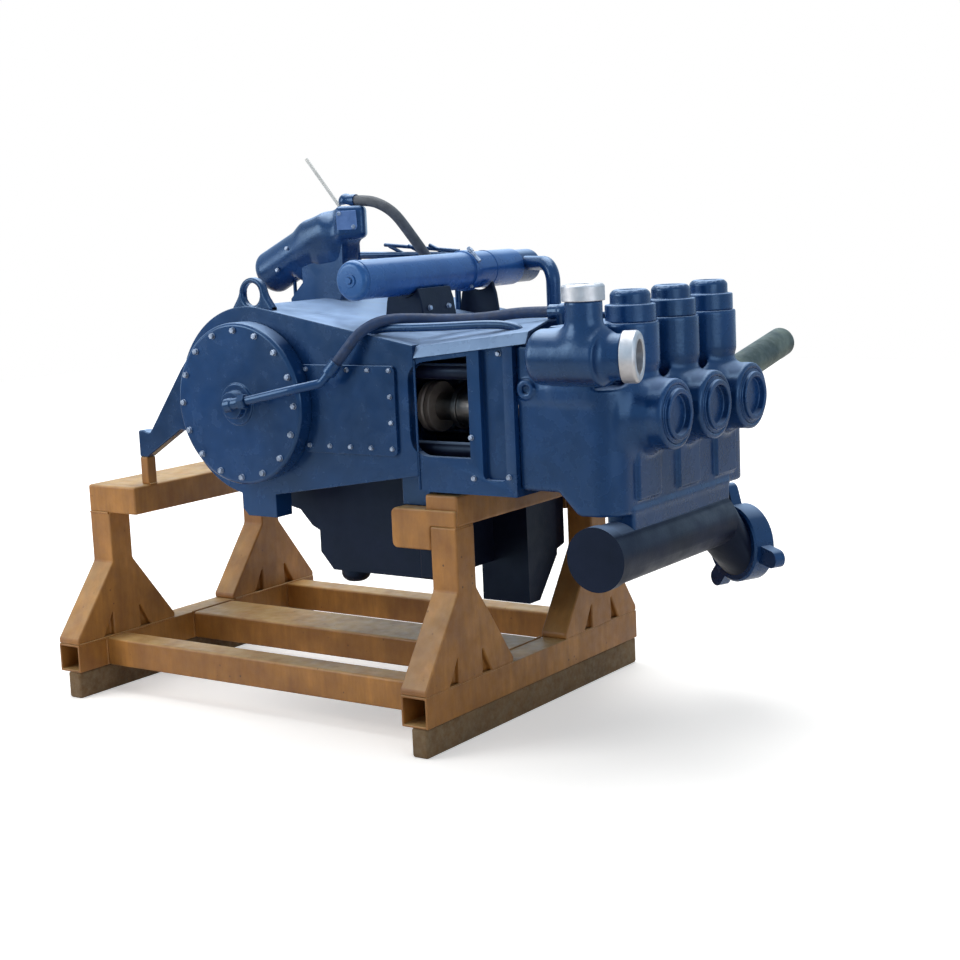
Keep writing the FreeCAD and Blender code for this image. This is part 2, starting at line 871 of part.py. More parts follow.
def union_wing(turn):
    """Round-ended wing that stands out of the union nut at an angle."""
    rear = (union_length - lug_thickness) / 2
    end = lug_reach - lug_breadth / 2
    wing = box(union_radius / 2, end, -lug_breadth / 2, lug_breadth / 2, rear, rear + lug_thickness)
    wing = wing.fuse(rod(V(end, 0, rear), AZ, lug_breadth / 2, lug_thickness))
    return wing.rotate(V(0, 0, 0), AZ, turn)


def suction_union():
    """Wing nut with three wings, made upright and then laid along the inlet's way."""
    body = turned([(0, union_radius - union_edge), (union_edge, union_radius),
                   (union_length - union_edge, union_radius), (union_length, union_radius - union_edge)],
                  V(0, 0, 0), AZ)
    for k in range(3):
        body = body.fuse(union_wing(lug_turn + 120 * k))
    body = body.cut(rod(V(0, 0, 0), AZ, union_bore, union_length)).removeSplitter()
    across = union_way.cross(AZ)
    body.Placement = FreeCAD.Placement(union_seat, FreeCAD.Rotation(across, AZ, union_way, "ZXY"))
    return body


nodes["suction_manifold"] = suction_manifold()
nodes["suction_union"] = suction_union()


# Sump under the case
def oil_sump():
    """Welded pan under the case, with a deeper well in front on the far side and a round drain boss."""
    side = half_width - sump_inset
    floor = axis_z - sump_floor
    outline = [(sump_rear, axis_z), (sump_rear, axis_z - sump_ledge), (sump_neck_x, axis_z - sump_neck),
               (sump_knee_x, axis_z - sump_knee), (sump_wall_x, axis_z - sump_wall_top),
               (sump_wall_x, axis_z - sump_wall_low), (sump_wall_x + sump_chamfer, floor),
               (sump_front, floor), (sump_front, axis_z)]
    pan = prism_y(outline, -side, side)
    well = prism_x([(well_near, front_beam_low), (well_near, floor - well_drop), (side - well_slant, floor - well_drop),
                    (side, floor), (side, front_beam_low)], bulkhead, well_front)
    pan = max(pan.cut(nodes["power_frame"]).Solids, key=lambda solid: -solid.CenterOfMass.z).fuse(well)
    drain = rounded_rod(V(drain_x, -side + drain_radius, floor + drain_round), -AZ, drain_radius,
                        drain_length + drain_round, drain_round)
    return pan.fuse(drain).removeSplitter()


nodes["oil_sump"] = oil_sump()

# Oil filter along the top
filter_z = frame_top(filter_x) + filter_clear
filter_far = filter_near + filter_length
filter_can = rounded_rod(V(filter_x, filter_far, filter_z), -AY, filter_radius, filter_length, filter_round)
strap = pipe(V(filter_x, strap_y, filter_z), AY, filter_radius + strap_thickness, filter_radius, strap_width)
nodes["oil_filter"] = join([filter_can, strap])
nodes["filter_head"] = rod(V(filter_x, filter_far, filter_z), AY, head_radius, head_length)


def on_frame_top(x0, x1, y0, y1, rise):
    """Block whose foot and top both follow the casing's slope, rise above it."""
    return prism_y([(x0, frame_top(x0)), (x1, frame_top(x1)), (x1, frame_top(x1) + rise),
                    (x0, frame_top(x0) + rise)], y0, y1)


def filter_saddle():
    """Base plate on the casing with two cradles that hold the filter."""
    x0 = filter_x - cradle_half
    x1 = filter_x + cradle_half
    body = on_frame_top(x0, x1, -cradle_reach, cradle_reach, cradle_plate)
    for y in (-cradle_reach, cradle_reach - cradle_width):
        web = prism_y([(x0, frame_top(x0)), (x1, frame_top(x1)), (filter_x + filter_radius, filter_z),
                       (filter_x - filter_radius, filter_z)], y, y + cradle_width)
        body = body.fuse(web)
    return body.cut(nodes["oil_filter"]).removeSplitter()


nodes["filter_saddle"] = filter_saddle()
elbow_y = filter_far + head_length / 2
elbow_z = filter_z + elbow_lift
elbow_roof = shoulder_z(elbow_foot_x) - fold_drop
return_pipe = cord([V(filter_x, elbow_y, elbow_z), V(elbow_foot_x, elbow_foot_y, elbow_z),
                    V(elbow_foot_x, elbow_foot_y, elbow_roof)], elbow_radius, elbow_bend)
for neighbour in ("filter_head", "oil_filter", "crosshead_cover", "power_frame"):
    return_pipe = return_pipe.cut(nodes[neighbour])
nodes["return_elbow"] = max(return_pipe.Solids, key=lambda solid: solid.Volume)


# Lifting eyes
def lifting_eye():
    """Bowed bar bent over a tapering hole, welded to the round of the case."""
    y0 = -half_width + eye_inset
    low = axis_z + case_radius - eye_sink
    top = axis_z + case_radius + eye_height
    arch = top - eye_top_half

    def bow(inset, base):
        half_top = eye_top_half - inset
        half_foot = eye_foot_half - inset
        body = prism_y([(eye_x - half_foot, base), (eye_x + half_foot, base),
                        (eye_x + half_top, arch), (eye_x - half_top, arch)], y0, y0 + eye_thickness)
        return body.fuse(rod(V(eye_x, y0, arch), AY, half_top, eye_thickness))

    return bow(0, low).cut(bow(eye_bar, low)).cut(case_round).cut(nodes["power_frame"])


nodes["lifting_eyes"] = pair(lifting_eye())

# Oil pump drive: leaning motor, gear head with its ports, and the leg that carries both
lean = math.radians(drive_lean)
drive_way = V(math.cos(lean), 0, math.sin(lean))
drive_middle = V(drive_x, 0, axis_z + drive_rise)
head_middle = V(head_x, 0, axis_z + head_rise)


def oil_pump_drive():
    band = drive_radius + drive_band
    motor = turned([(-drive_tail, drive_radius - drive_round), (drive_round - drive_tail, drive_radius),
                    (0, drive_radius), (0, band), (2 * drive_band, band), (2 * drive_band, drive_radius),
                    (drive_nose, drive_radius)], drive_middle, drive_way)
    head = rounded_rod(head_middle + AY * head_block_half, -AY, head_block_radius, 2 * head_block_half,
                       drive_band)
    port = rod(head_middle, AX, port_radius, port_reach)
    pad_y = -head_block_half
    pad = box(head_x - port_pad, head_x + port_pad, pad_y - port_pad_thickness, pad_y,
              head_middle.z - port_pad, head_middle.z + port_pad)
    return join([motor, head, port, pad])


def drive_bracket():
    """Tapered leg on the casing's top, cut to the drive's underside, with the drip tube beside it."""
    high = axis_z + leg_high_rise
    leg = prism_y([(leg_low_x0, axis_z), (leg_low_x0, axis_z + case_radius), (leg_high_x0, high),
                   (leg_high_x0, head_middle.z), (leg_high_x1, head_middle.z), (leg_high_x1, high),
                   (leg_low_x1, axis_z + case_radius), (leg_low_x1, axis_z)], -leg_half, leg_half)
    above = prism_y([(leg_low_x0 * 2, high), (leg_low_x0 * 2, axis_z + 3 * case_radius),
                     (head_x - head_block_radius, axis_z + 3 * case_radius),
                     (head_x - head_block_radius, head_middle.z)], -leg_half, leg_half)
    body = leg.cut(above).cut(nodes["oil_pump_drive"]).cut(nodes["power_frame"])
    body = max(body.Solids, key=lambda solid: solid.Volume)
    drip = rod(V(drip_tube_x, 0, axis_z), AZ, drip_tube_radius, drive_rise)
    drip = drip.cut(nodes["oil_pump_drive"]).cut(nodes["power_frame"])
    return Part.makeCompound([body, min(drip.Solids, key=lambda solid: solid.CenterOfMass.z)])


nodes["oil_pump_drive"] = oil_pump_drive()
nodes["drive_bracket"] = drive_bracket()

# Dip rod, from the head up and back
dip_foot = head_middle + V(-head_block_radius / 8, 0, head_block_radius / 2)
dip_way = V(-121, 0, 148).normalize()
dip_length = 191.0
nodes["dip_rod"] = rod(dip_foot, dip_way, dip_radius, dip_length).cut(nodes["oil_pump_drive"])

# Lube line: steel pipe from the rotary union, then a hose over the casing's edge to the packing
hub_face = -half_width - cover_thickness - cover_hub_length
pipe_corner = V(276, -402, axis_z + 58)
pipe_end = V(296, -396, axis_z + 82)
pipe_way = (pipe_end - pipe_corner).normalize()
nodes["lube_pipe"] = cord([V(0, hub_face, axis_z), V(0, hub_face - 30, axis_z), V(200, -430, axis_z + 42),
                           pipe_corner, pipe_end], lube_pipe_radius, lube_pipe_bend)
hose_end = V(832, -240, axis_z + 216)
lube_start = pipe_end + pipe_way * fitting_length
lube_points = [lube_start, lube_start + pipe_way * fitting_length, V(375, -368, axis_z + 180),
               V(413, -326, axis_z + 206), V(472, -276, axis_z + 204), V(555, -246, axis_z + 199),
               V(660, -238, axis_z + 203), hose_end - AX * 80, hose_end]
nodes["lube_hose"] = cord(lube_points, hose_radius)

# Top hose: from the head's neck over to the casing beside the filter
elbow_middle = head_middle + AZ * (head_block_radius + hose_radius / 2)
hose_start = elbow_middle + AX * fitting_length
top_end = V(250, 130, frame_top(250) + fitting_length)
top_points = [hose_start, hose_start + AX * 42, V(173, 9, axis_z + 476), V(200, 25.5, axis_z + 451),
              V(219, 56, axis_z + 402), V(236, 94, axis_z + 346), top_end + AZ * 60, top_end]
nodes["top_hose"] = cord(top_points, top_hose_radius)


def fittings():
    """Hose ends: an elbow on the head, a stub on the casing and an elbow on the fluid end."""
    head_elbow = Part.makeSphere(fitting_radius, elbow_middle)
    head_elbow = head_elbow.fuse(rod(elbow_middle, AX, fitting_radius - sheet / 2, fitting_length))
    stub = rod(V(top_end.x, top_end.y, axis_z + block_step), AZ, fitting_radius, top_end.z - axis_z - block_step)
    turn = hose_end + AX * fitting_length
    block_elbow = Part.makeSphere(fitting_radius, turn)
    block_elbow = block_elbow.fuse(rod(turn, -AX, fitting_radius - sheet / 2, fitting_length))
    block_elbow = block_elbow.fuse(rod(V(turn.x, turn.y, axis_z + block_step), AZ, fitting_radius - sheet / 2,
                                       turn.z - axis_z - block_step))
    coupling = rod(pipe_end, pipe_way, fitting_radius - sheet / 2, fitting_length)
    solids = []
    for solid in (head_elbow, stub, block_elbow, coupling):
        for neighbour in ("oil_pump_drive", "power_frame", "crosshead_cover", "fluid_end"):
            solid = solid.cut(nodes[neighbour])
        solids.append(solid)
    return Part.makeCompound(solids)


nodes["hose_fittings"] = fittings()


def lube_rack():
    """Level bottom rail and sloping top rail on three posts, with slanting bars between."""
    def bar(x0, z0, x1, z1, radius):
        way = V(x1 - x0, 0, z1 - z0)
        return rod(V(x0, rack_y, axis_z + z0), way.normalize(), radius, math.hypot(x1 - x0, z1 - z0))

    shapes = [bar(-92, 344, 272, 336, rack_rail), bar(24, 370, 272, 348, rack_rail / 2)]
    for x in (40, 105, 175):
        shapes.append(bar(x, 366, x + 62, 338, rack_bar))
    for x in (-70, 24, 262):
        shapes.append(rod(V(x, rack_y, axis_z + block_step), AZ, rack_rail * 0.8, 344 - block_step))
    return join(shapes).cut(nodes["power_frame"])


nodes["lube_rack"] = lube_rack()

# Outlet stub on the far side
stub_way = V(0, math.cos(math.radians(far_stub_lean)), math.sin(math.radians(far_stub_lean)))
far_stub = rounded_rod(V(far_stub_x, block_half - far_stub_root, axis_z + far_stub_z), stub_way,
                       far_stub_radius, far_stub_length + far_stub_root, far_stub_round)
nodes["far_outlet_stub"] = far_stub.cut(nodes["fluid_end"])

everything = Part.makeCompound(list(nodes.values()))
bounds = everything.BoundBox
shift = V(-(bounds.XMin + bounds.XMax) / 2, -(bounds.YMin + bounds.YMax) / 2, -bounds.ZMin)
print("shift", round(shift.x, 4), round(shift.y, 4), round(shift.z, 4))
print("size", round(bounds.XLength, 1), round(bounds.YLength, 1), round(bounds.ZLength, 1))
for name, shape in nodes.items():
    placed = shape.translated(shift)
    placed.exportStep("parts/" + name + ".step")
print(len(nodes), "nodes")
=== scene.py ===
import json
import math
import random

import bmesh
import bpy
import numpy as np
from bpy.props import FloatProperty, FloatVectorProperty, PointerProperty
from mathutils import Matrix, Quaternion, Vector


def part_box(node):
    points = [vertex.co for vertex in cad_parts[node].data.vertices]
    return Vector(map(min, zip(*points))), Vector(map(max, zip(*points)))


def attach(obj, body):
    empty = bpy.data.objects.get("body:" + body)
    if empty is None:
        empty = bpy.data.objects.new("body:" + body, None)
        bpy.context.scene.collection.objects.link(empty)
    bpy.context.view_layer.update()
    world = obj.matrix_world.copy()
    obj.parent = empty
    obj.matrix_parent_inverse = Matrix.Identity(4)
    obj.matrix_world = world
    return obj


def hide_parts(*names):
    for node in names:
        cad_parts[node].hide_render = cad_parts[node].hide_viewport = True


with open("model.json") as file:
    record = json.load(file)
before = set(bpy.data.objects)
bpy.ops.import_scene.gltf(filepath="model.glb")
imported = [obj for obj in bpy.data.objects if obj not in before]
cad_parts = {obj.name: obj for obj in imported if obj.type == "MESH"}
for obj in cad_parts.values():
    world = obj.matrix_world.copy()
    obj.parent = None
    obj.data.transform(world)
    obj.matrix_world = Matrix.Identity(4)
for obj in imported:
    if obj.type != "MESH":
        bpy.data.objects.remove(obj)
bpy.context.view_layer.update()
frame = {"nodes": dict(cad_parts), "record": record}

bl_info = {
    "name": "Triplex plunger pump",
    "version": (1, 0, 0),
    "blender": (4, 5, 0),
    "location": "3D View > Sidebar > Pump",
    "description": "Dresses the packed plunger pump: paint, castings, bolting, hoses and the studio",
    "category": "Object",
}

MM = 0.001
near_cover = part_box("bearing_cover_near")
far_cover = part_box("bearing_cover_far")
# middle of the crankshaft, which all places below are measured from
CRANK = Vector(((near_cover[0].x + near_cover[1].x) / 2, (near_cover[0].y + far_cover[1].y) / 2,
                (near_cover[0].z + near_cover[1].z) / 2))
X = Vector((1, 0, 0))
Y = Vector((0, 1, 0))
Z = Vector((0, 0, 1))
# the three plunger lines and the two sides, across the pump
ROWS = (-190, 0, 190)
SIDES = (-1, 1)


def at(x, y, z):
    """Point in metres from millimetres along, across and above the crankshaft's axis."""
    return CRANK + Vector((x, y, z)) * MM


def linear(hex_colour):
    """Linear values of an sRGB hex colour."""
    parts = [int(hex_colour[k:k + 2], 16) / 255 for k in (1, 3, 5)]
    return [c / 12.92 if c <= 0.04045 else ((c + 0.055) / 1.055) ** 2.4 for c in parts]


# Sizes and colours that a user would change

def measure(name, description, value):
    return FloatProperty(name=name, description=description, default=value, unit="LENGTH")


def colour(name, description, value):
    return FloatVectorProperty(name=name, description=description, subtype="COLOR", min=0, max=1,
                               default=linear(value))


class PumpSizes(bpy.types.PropertyGroup):
    cover_bolt: measure("Cover bolt", "Across flats of the bearing covers' bolts", 0.013)
    panel_bolt: measure("Panel bolt", "Across flats of the side panels' bolts", 0.0095)
    plate_bolt: measure("Plate bolt", "Across flats of the crosshead box's bolts", 0.011)
    stand_corner: measure("Stand corner", "Outside radius of the stand's square tube", 0.007)
    plate_edge: measure("Plate edge", "Radius worn on the edges of plate", 0.003)
    cast_grid: measure("Casting grid", "Cell of the grid that the fluid end is skinned on", 0.0055)
    weld_width: measure("Weld width", "Width of the weld beads", 0.007)
    rotary_nut: measure("Rotary union nut", "Across flats of the nut on the crankshaft's union", 0.034)


class PumpColours(bpy.types.PropertyGroup):
    blue: colour("Blue enamel", "Gloss enamel on castings and plate", "#12386b")
    blue_deep: colour("Blue enamel, thick", "The same enamel where it ran thick", "#0a264c")
    amber: colour("Amber enamel", "Stand's enamel", "#b87f38")
    amber_deep: colour("Amber enamel, stained", "Stand's enamel where it is stained", "#8a5a28")
    # pale tone on the stand's tops: bleaching and dust, with painted sunlight
    amber_pale_and_sunlit: colour("Amber enamel, bleached", "Stand's enamel bleached by sun and dust", "#d9bd84")
    # painted shade: the base bars' dark brown stands in for the shade under the runners
    shaded_primer: colour("Brown primer", "Base bars' primer", "#775a38")
    # dust and painted sky sheen: the pale blue on what faces up stands in for the sky mirrored there
    dust_and_sky_sheen: colour("Dust", "Dry dust on what faces up, as pale as the sky", "#a8c6ee")
    floor: colour("Floor", "Studio floor", "#f2f2f1")


def sizes():
    return bpy.context.scene.pump_sizes


def colours():
    return bpy.context.scene.pump_colours


# Materials

def add(tree, kind, inputs=None, **settings):
    """Adds a node with its settings, and sets or links its inputs."""
    node = tree.nodes.new(kind)
    for name, value in settings.items():
        setattr(node, name, value)
    for name, value in (inputs or {}).items():
        if isinstance(value, bpy.types.NodeSocket):
            tree.links.new(value, node.inputs[name])
        else:
            node.inputs[name].default_value = value
    return node


def per(millimetres):
    """Texture scale whose pattern repeats about every so many millimetres."""
    return 1000 / millimetres


def blank(name):
    mat = bpy.data.materials.new(name)
    mat.use_nodes = True
    mat.node_tree.nodes.clear()
    where = add(mat.node_tree, "ShaderNodeTexCoord").outputs["Object"]
    return mat, mat.node_tree, where


def speckle(tree, where, size, low, high, detail=3.0, rough=0.55, stretch=None):
    """Noise of a size in millimetres, spread between two levels."""
    if stretch:
        where = add(tree, "ShaderNodeMapping", {"Vector": where, "Scale": stretch}).outputs["Vector"]
    noise = add(tree, "ShaderNodeTexNoise", {"Vector": where, "Scale": per(size), "Detail": detail,
                                             "Roughness": rough})
    return add(tree, "ShaderNodeMapRange", {"Value": noise.outputs["Fac"], "From Min": 0.35, "From Max": 0.65,
                                            "To Min": low, "To Max": high}).outputs["Result"]


def blend_colour(tree, amount, first, second):
    mix = add(tree, "ShaderNodeMix", {"Factor": amount}, data_type="RGBA")
    for socket, value in ((mix.inputs[6], first), (mix.inputs[7], second)):
        if isinstance(value, bpy.types.NodeSocket):
            tree.links.new(value, socket)
        else:
            socket.default_value = (*value[:3], 1)
    return mix.outputs[2]


def product(tree, first, second):
    return add(tree, "ShaderNodeMath", {0: first, 1: second}, operation="MULTIPLY").outputs[0]


def facing_up(tree, low, high):
    """How far a surface faces the sky, from 0 at low to 1 at high."""
    normal = add(tree, "ShaderNodeNewGeometry").outputs["Normal"]
    up = add(tree, "ShaderNodeSeparateXYZ", {"Vector": normal}).outputs["Z"]
    return add(tree, "ShaderNodeMapRange", {"Value": up, "From Min": low, "From Max": high}).outputs["Result"]


def close(mat, tree, base, rough, height, bump, distance, **fixed):
    """Principled surface on the worked-out colour, roughness and relief."""
    names = {key.replace("_", " "): value for key, value in fixed.items()}
    relief = add(tree, "ShaderNodeBump", {"Height": height, "Strength": bump, "Distance": distance})
    shader = add(tree, "ShaderNodeBsdfPrincipled", {"Base Color": base, "Roughness": rough,
                                                    "Normal": relief.outputs["Normal"], **names})
    add(tree, "ShaderNodeOutputMaterial", {"Surface": shader.outputs["BSDF"]})
    return mat


# the blue that the sky gives to the gloss
SKY_SHEEN = (0.4, 0.66, 1, 1)


def gloss_enamel(name, thick, thin, dust_and_sky_sheen, wet, low=0.72, shine=0.75):
    """Sprayed alkyd enamel on iron: deep gloss with orange peel, thicker in patches, and on what faces up a
    pale blue that is dust and painted sky sheen.

    wet is its least roughness, and the dust and painted sky sheen lie on what faces up by more than low.
    """
    mat, tree, where = blank(name)
    patches = speckle(tree, where, 260, 0, 1, 4)
    base = blend_colour(tree, patches, thick, thin)
    streaks = speckle(tree, where, 60, 0, 0.35, 5, 0.6, (1.0, 1.0, 0.18))
    base = blend_colour(tree, streaks, base, thick)
    # dust and painted sky sheen: a pale blue on what faces up, standing in for the sky mirrored there
    dust_and_painted_light = product(tree, facing_up(tree, low, 0.97), speckle(tree, where, 90, 0.55, 0.8, 6))
    base = blend_colour(tree, dust_and_painted_light, base, dust_and_sky_sheen)
    dull = product(tree, facing_up(tree, 0.6, 0.95), 0.2)
    rough = add(tree, "ShaderNodeMath", {0: speckle(tree, where, 45, wet, wet + 0.14, 5), 1: dull}).outputs[0]
    # orange peel is about 2 mm apart, drawn at 6 mm so that it shows
    peel = speckle(tree, where, 6, 0, 1, 2)
    return close(mat, tree, base, rough, peel, 0.12, 0.0006, Specular_IOR_Level=shine,
                 Specular_Tint=SKY_SHEEN)


def satin_enamel(name, base_colour, stained, bleached_and_sunlit):
    """Brushed satin enamel on tube: soft sheen, rain stains, and on what faces up bleaching, dust and painted
    sunlight.
    """
    mat, tree, where = blank(name)
    base = blend_colour(tree, speckle(tree, where, 180, 0, 1, 5), stained, base_colour)
    runs = speckle(tree, where, 34, 0, 0.55, 6, 0.65, (1.0, 1.0, 0.2))
    base = blend_colour(tree, runs, base, [c * 0.72 for c in stained])
    # bleaching and dust, with painted sunlight: the tops are paler, as if lit
    dust_and_painted_light = product(tree, facing_up(tree, 0.4, 0.95), speckle(tree, where, 70, 0.25, 0.6, 6))
    base = blend_colour(tree, dust_and_painted_light, base, bleached_and_sunlit)
    # brown specks where the coat is broken, 3 to 8 mm across
    specks = add(tree, "ShaderNodeTexVoronoi", {"Vector": where, "Scale": per(38)}).outputs["Distance"]
    broken = add(tree, "ShaderNodeMapRange", {"Value": specks, "From Min": 0.09, "From Max": 0.06,
                                              "To Max": 0.8}).outputs["Result"]
    base = blend_colour(tree, product(tree, broken, speckle(tree, where, 150, 0, 1)), base, linear("#4a3220"))
    rough = speckle(tree, where, 25, 0.42, 0.62, 5)
    brush = speckle(tree, where, 5, 0, 1, 4)
    return close(mat, tree, base, rough, brush, 0.2, 0.0007, Coat_Weight=0.12, Coat_Roughness=0.3)


def brown_primer(name, base_colour):
    """Brushed oxide primer with mud: matt and blotchy, dark brown as painted shade under the runners."""
    mat, tree, where = blank(name)
    base = blend_colour(tree, speckle(tree, where, 120, 0, 1, 6), [c * 0.6 for c in base_colour], base_colour)
    mud = speckle(tree, where, 22, 0, 0.5, 6, 0.7)
    base = blend_colour(tree, mud, base, linear("#8a7a60"))
    rough = speckle(tree, where, 15, 0.7, 0.92)
    return close(mat, tree, base, rough, speckle(tree, where, 7, 0, 1, 5), 0.4, 0.001)


def turned_steel(name, tint, rough_low, rough_high, ring, metal=1.0):
    """Turned or ground steel: bright, with fine tool lines round the axis and a film of oil."""
    mat, tree, where = blank(name)
    film = speckle(tree, where, 30, 0, 1, 5)
    base = blend_colour(tree, film, [c * 0.78 for c in tint], tint)
    lines = speckle(tree, where, ring, 0, 1, 2, 0.5, (1.0, 0.12, 0.12))
    rough = speckle(tree, where, 18, rough_low, rough_high, 4)
    return close(mat, tree, base, rough, lines, 0.12, 0.0003, Metallic=metal)


def hose_rubber(name, tint):
    """Wrapped rubber hose, sprayed over with the machine: matt, with the weave of its wrapping."""
    mat, tree, where = blank(name)
    base = blend_colour(tree, speckle(tree, where, 18, 0, 1, 5), [c * 0.55 for c in tint], tint)
    # the wrap's weave is 1 mm, drawn at 3 mm so that it shows
    wrap = speckle(tree, where, 3, 0, 1, 1)
    return close(mat, tree, base, speckle(tree, where, 9, 0.5, 0.7), wrap, 0.3, 0.0005)


def mottled(name, dark, pale, patch, detail, rough, grain, bump, depth, metal=0.0):
    """Plain finish in two tones, with patches, an uneven sheen and a fine grain at sizes in millimetres."""
    mat, tree, where = blank(name)
    base = blend_colour(tree, speckle(tree, where, patch, 0, 1, detail), linear(dark), linear(pale))
    return close(mat, tree, base, speckle(tree, where, *rough), speckle(tree, where, *grain), bump, depth,
                 Metallic=metal)


def studio_floor(name, base_colour):
    """Matt white lino, lifted where the camera sees it, more so far out, so that it meets the backdrop."""
    mat, tree, where = blank(name)
    base = blend_colour(tree, speckle(tree, where, 400, 0, 0.3), base_colour, [c * 0.97 for c in base_colour])
    seen = add(tree, "ShaderNodeLightPath").outputs["Is Camera Ray"]
    away = add(tree, "ShaderNodeVectorMath", {0: where}, operation="LENGTH").outputs["Value"]
    lift = add(tree, "ShaderNodeMapRange", {"Value": away, "From Min": 1.2, "From Max": 4.0, "To Min": 0.42,
                                            "To Max": 1.0}).outputs["Result"]
    relief = add(tree, "ShaderNodeBump", {"Height": speckle(tree, where, 8, 0, 1), "Strength": 0.02,
                                          "Distance": 0.001})
    shader = add(tree, "ShaderNodeBsdfPrincipled", {"Base Color": base, "Roughness": 0.9,
                                                    "Normal": relief.outputs["Normal"],
                                                    "Emission Color": (1, 1, 1, 1),
                                                    "Emission Strength": product(tree, seen, lift)})
    add(tree, "ShaderNodeOutputMaterial", {"Surface": shader.outputs["BSDF"]})
    return mat


def make_finishes():
    tint = colours()
    return {
        "blue": gloss_enamel("blue_gloss_enamel", tint.blue_deep, tint.blue, tint.dust_and_sky_sheen, 0.16),
        "cast_blue": gloss_enamel("blue_enamel_on_cast_iron", tint.blue_deep, tint.blue, tint.dust_and_sky_sheen, 0.2),
        # the same enamel on folded sheet, with dust and painted sky sheen on its slopes too
        "fold": gloss_enamel("blue_enamel_on_sheet", tint.blue_deep, tint.blue, tint.dust_and_sky_sheen, 0.2, -0.35),
        # the filter can's own, paler enamel
        "canister": gloss_enamel("pale_blue_canister_enamel", linear("#1d4682"), linear("#3262a2"),
                                 tint.dust_and_sky_sheen, 0.2),
        # blue enamel painted dark as shade, on parts low on the pump and in its windows
        "shade_blue": gloss_enamel("blue_enamel_painted_dark_as_shade", linear("#0d0f1d"), linear("#181b30"), tint.dust_and_sky_sheen, 0.34,
                              shine=0.25),
        "amber": satin_enamel("amber_satin_enamel", tint.amber, tint.amber_deep, tint.amber_pale_and_sunlit),
        "shaded_primer": brown_primer("brown_primer_painted_as_shade", tint.shaded_primer),
        "ground": turned_steel("ground_rod_steel", linear("#8f8984"), 0.3, 0.45, 2.5),
        "clamp": turned_steel("oiled_clamp_steel", linear("#a0948c"), 0.4, 0.6, 3, 0.25),
        "union": turned_steel("machined_union_steel", linear("#cdcacb"), 0.4, 0.55, 4),
        "oiled": turned_steel("oiled_dark_steel", linear("#4a4d52"), 0.35, 0.55, 5),
        # pipe steel, phosphated grey green, dull, mottled by handling
        "phosphate": mottled("phosphated_pipe_steel", "#3d4a48", "#66726a", 60, 5, (14, 0.42, 0.62),
                             (4, 0, 1), 0.15, 0.0004, 0.35),
        "rubber": hose_rubber("sprayed_hose_rubber", linear("#1a3760")),
        "bare_rubber": hose_rubber("wrapped_hose_rubber", linear("#5b5f66")),
        # powder coat: pale and even, with a fine orange peel
        "rod": mottled("powder_coated_rod", "#b9bcbb", "#d8dbda", 40, 3, (9, 0.35, 0.5), (2, 0, 1),
                       0.1, 0.0002),
        # rolled aluminium without lettering: satin, with fine lines of the rolling; its blue tone is painted
        # sky reflection
        "plate": mottled("aluminium_plate_painted_sky_blue", "#5a76a6", "#6f8bbb", 25, 4, (9, 0.4, 0.52),
                         (2, 0, 1, 1, 0.5, (0.05, 1.0, 1.0)), 0.1, 0.0002, 0.6),
        # zinc plate on fasteners: pale grey, kept pale and bluish as painted glints on the heads
        "zinc_and_glint": mottled("zinc_fasteners_painted_glint", "#727c8e", "#a9b4c6", 12, 4, (6, 0.28, 0.45), (3, 0, 1),
                        0.1, 0.0002, 0.85),
    }


finishes = {}
# the finishes of each material slot of the construction, its plain one first
PAINTS = {
    "blue_paint": ("blue", "cast_blue", "fold", "canister", "shade_blue"),
    "amber_paint": ("amber",),
    "brown_primer": ("shaded_primer",),
    "polished_steel": ("ground",),
    "bare_steel": ("union", "rod", "plate", "zinc_and_glint"),
    "dark_steel": ("oiled", "clamp"),
    "phosphate_steel": ("phosphate",),
    "hose_rubber": ("rubber", "bare_rubber"),
}


# Pieces

def settle(obj, finish, *nodes, body="pump"):
    """Gives a piece its finish, its body and the nodes that it stands for."""
    obj.data.materials.append(finishes[finish])
    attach(obj, body)
    if nodes:
        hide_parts(*nodes)
    return obj


def from_bmesh(name, bm, angle=40):
    """Object of a bmesh, shaded smooth but at edges sharper than so many degrees."""
    mesh = bpy.data.meshes.new(name)
    bmesh.ops.recalc_face_normals(bm, faces=bm.faces)
    for face in bm.faces:
        face.smooth = True
    for edge in bm.edges:
        if len(edge.link_faces) == 2 and edge.calc_face_angle() > math.radians(angle):
            edge.smooth = False
    bm.to_mesh(mesh)
    bm.free()
    obj = bpy.data.objects.new(name, mesh)
    bpy.context.scene.collection.objects.link(obj)
    return obj


def worn(name, node, finish, radius, sharp=32, body="pump"):
    """Copy of a node's shape with its sharp edges rounded, in place of the node."""
    bm = bmesh.new()
    bm.from_mesh(frame["nodes"][node].data)
    bmesh.ops.remove_doubles(bm, verts=bm.verts, dist=2e-5)
    bmesh.ops.dissolve_limit(bm, angle_limit=math.radians(0.6), verts=bm.verts, edges=bm.edges)
    return rounded(from_bmesh(name, bm, sharp), radius, finish, node, sharp=sharp, body=body)


def line(name, points, diameter, finish, *nodes):
    """Smooth round line along its control points, in millimetres."""
    curve = bpy.data.curves.new(name, "CURVE")
    curve.dimensions = "3D"
    spline = curve.splines.new("NURBS")
    spline.points.add(len(points) - 1)
    for place, point in zip(spline.points, points):
        place.co = (*at(*point), 1)
    spline.order_u = 3
    spline.use_endpoint_u = True
    spline.resolution_u = 16
    curve.bevel_depth = diameter / 2 * MM
    curve.bevel_resolution = 6
    curve.use_fill_caps = True
    obj = bpy.data.objects.new(name, curve)
    bpy.context.scene.collection.objects.link(obj)
    return settle(obj, finish, *nodes)


def turned(name, places, finish, count=48):
    """Turned pieces in one mesh: each place is (start, way, steps)."""
    bm = bmesh.new()
    for start, way, steps in places:
        lathe(bm, start, way, steps, count)
    return settle(from_bmesh(name, bm, 32), finish)


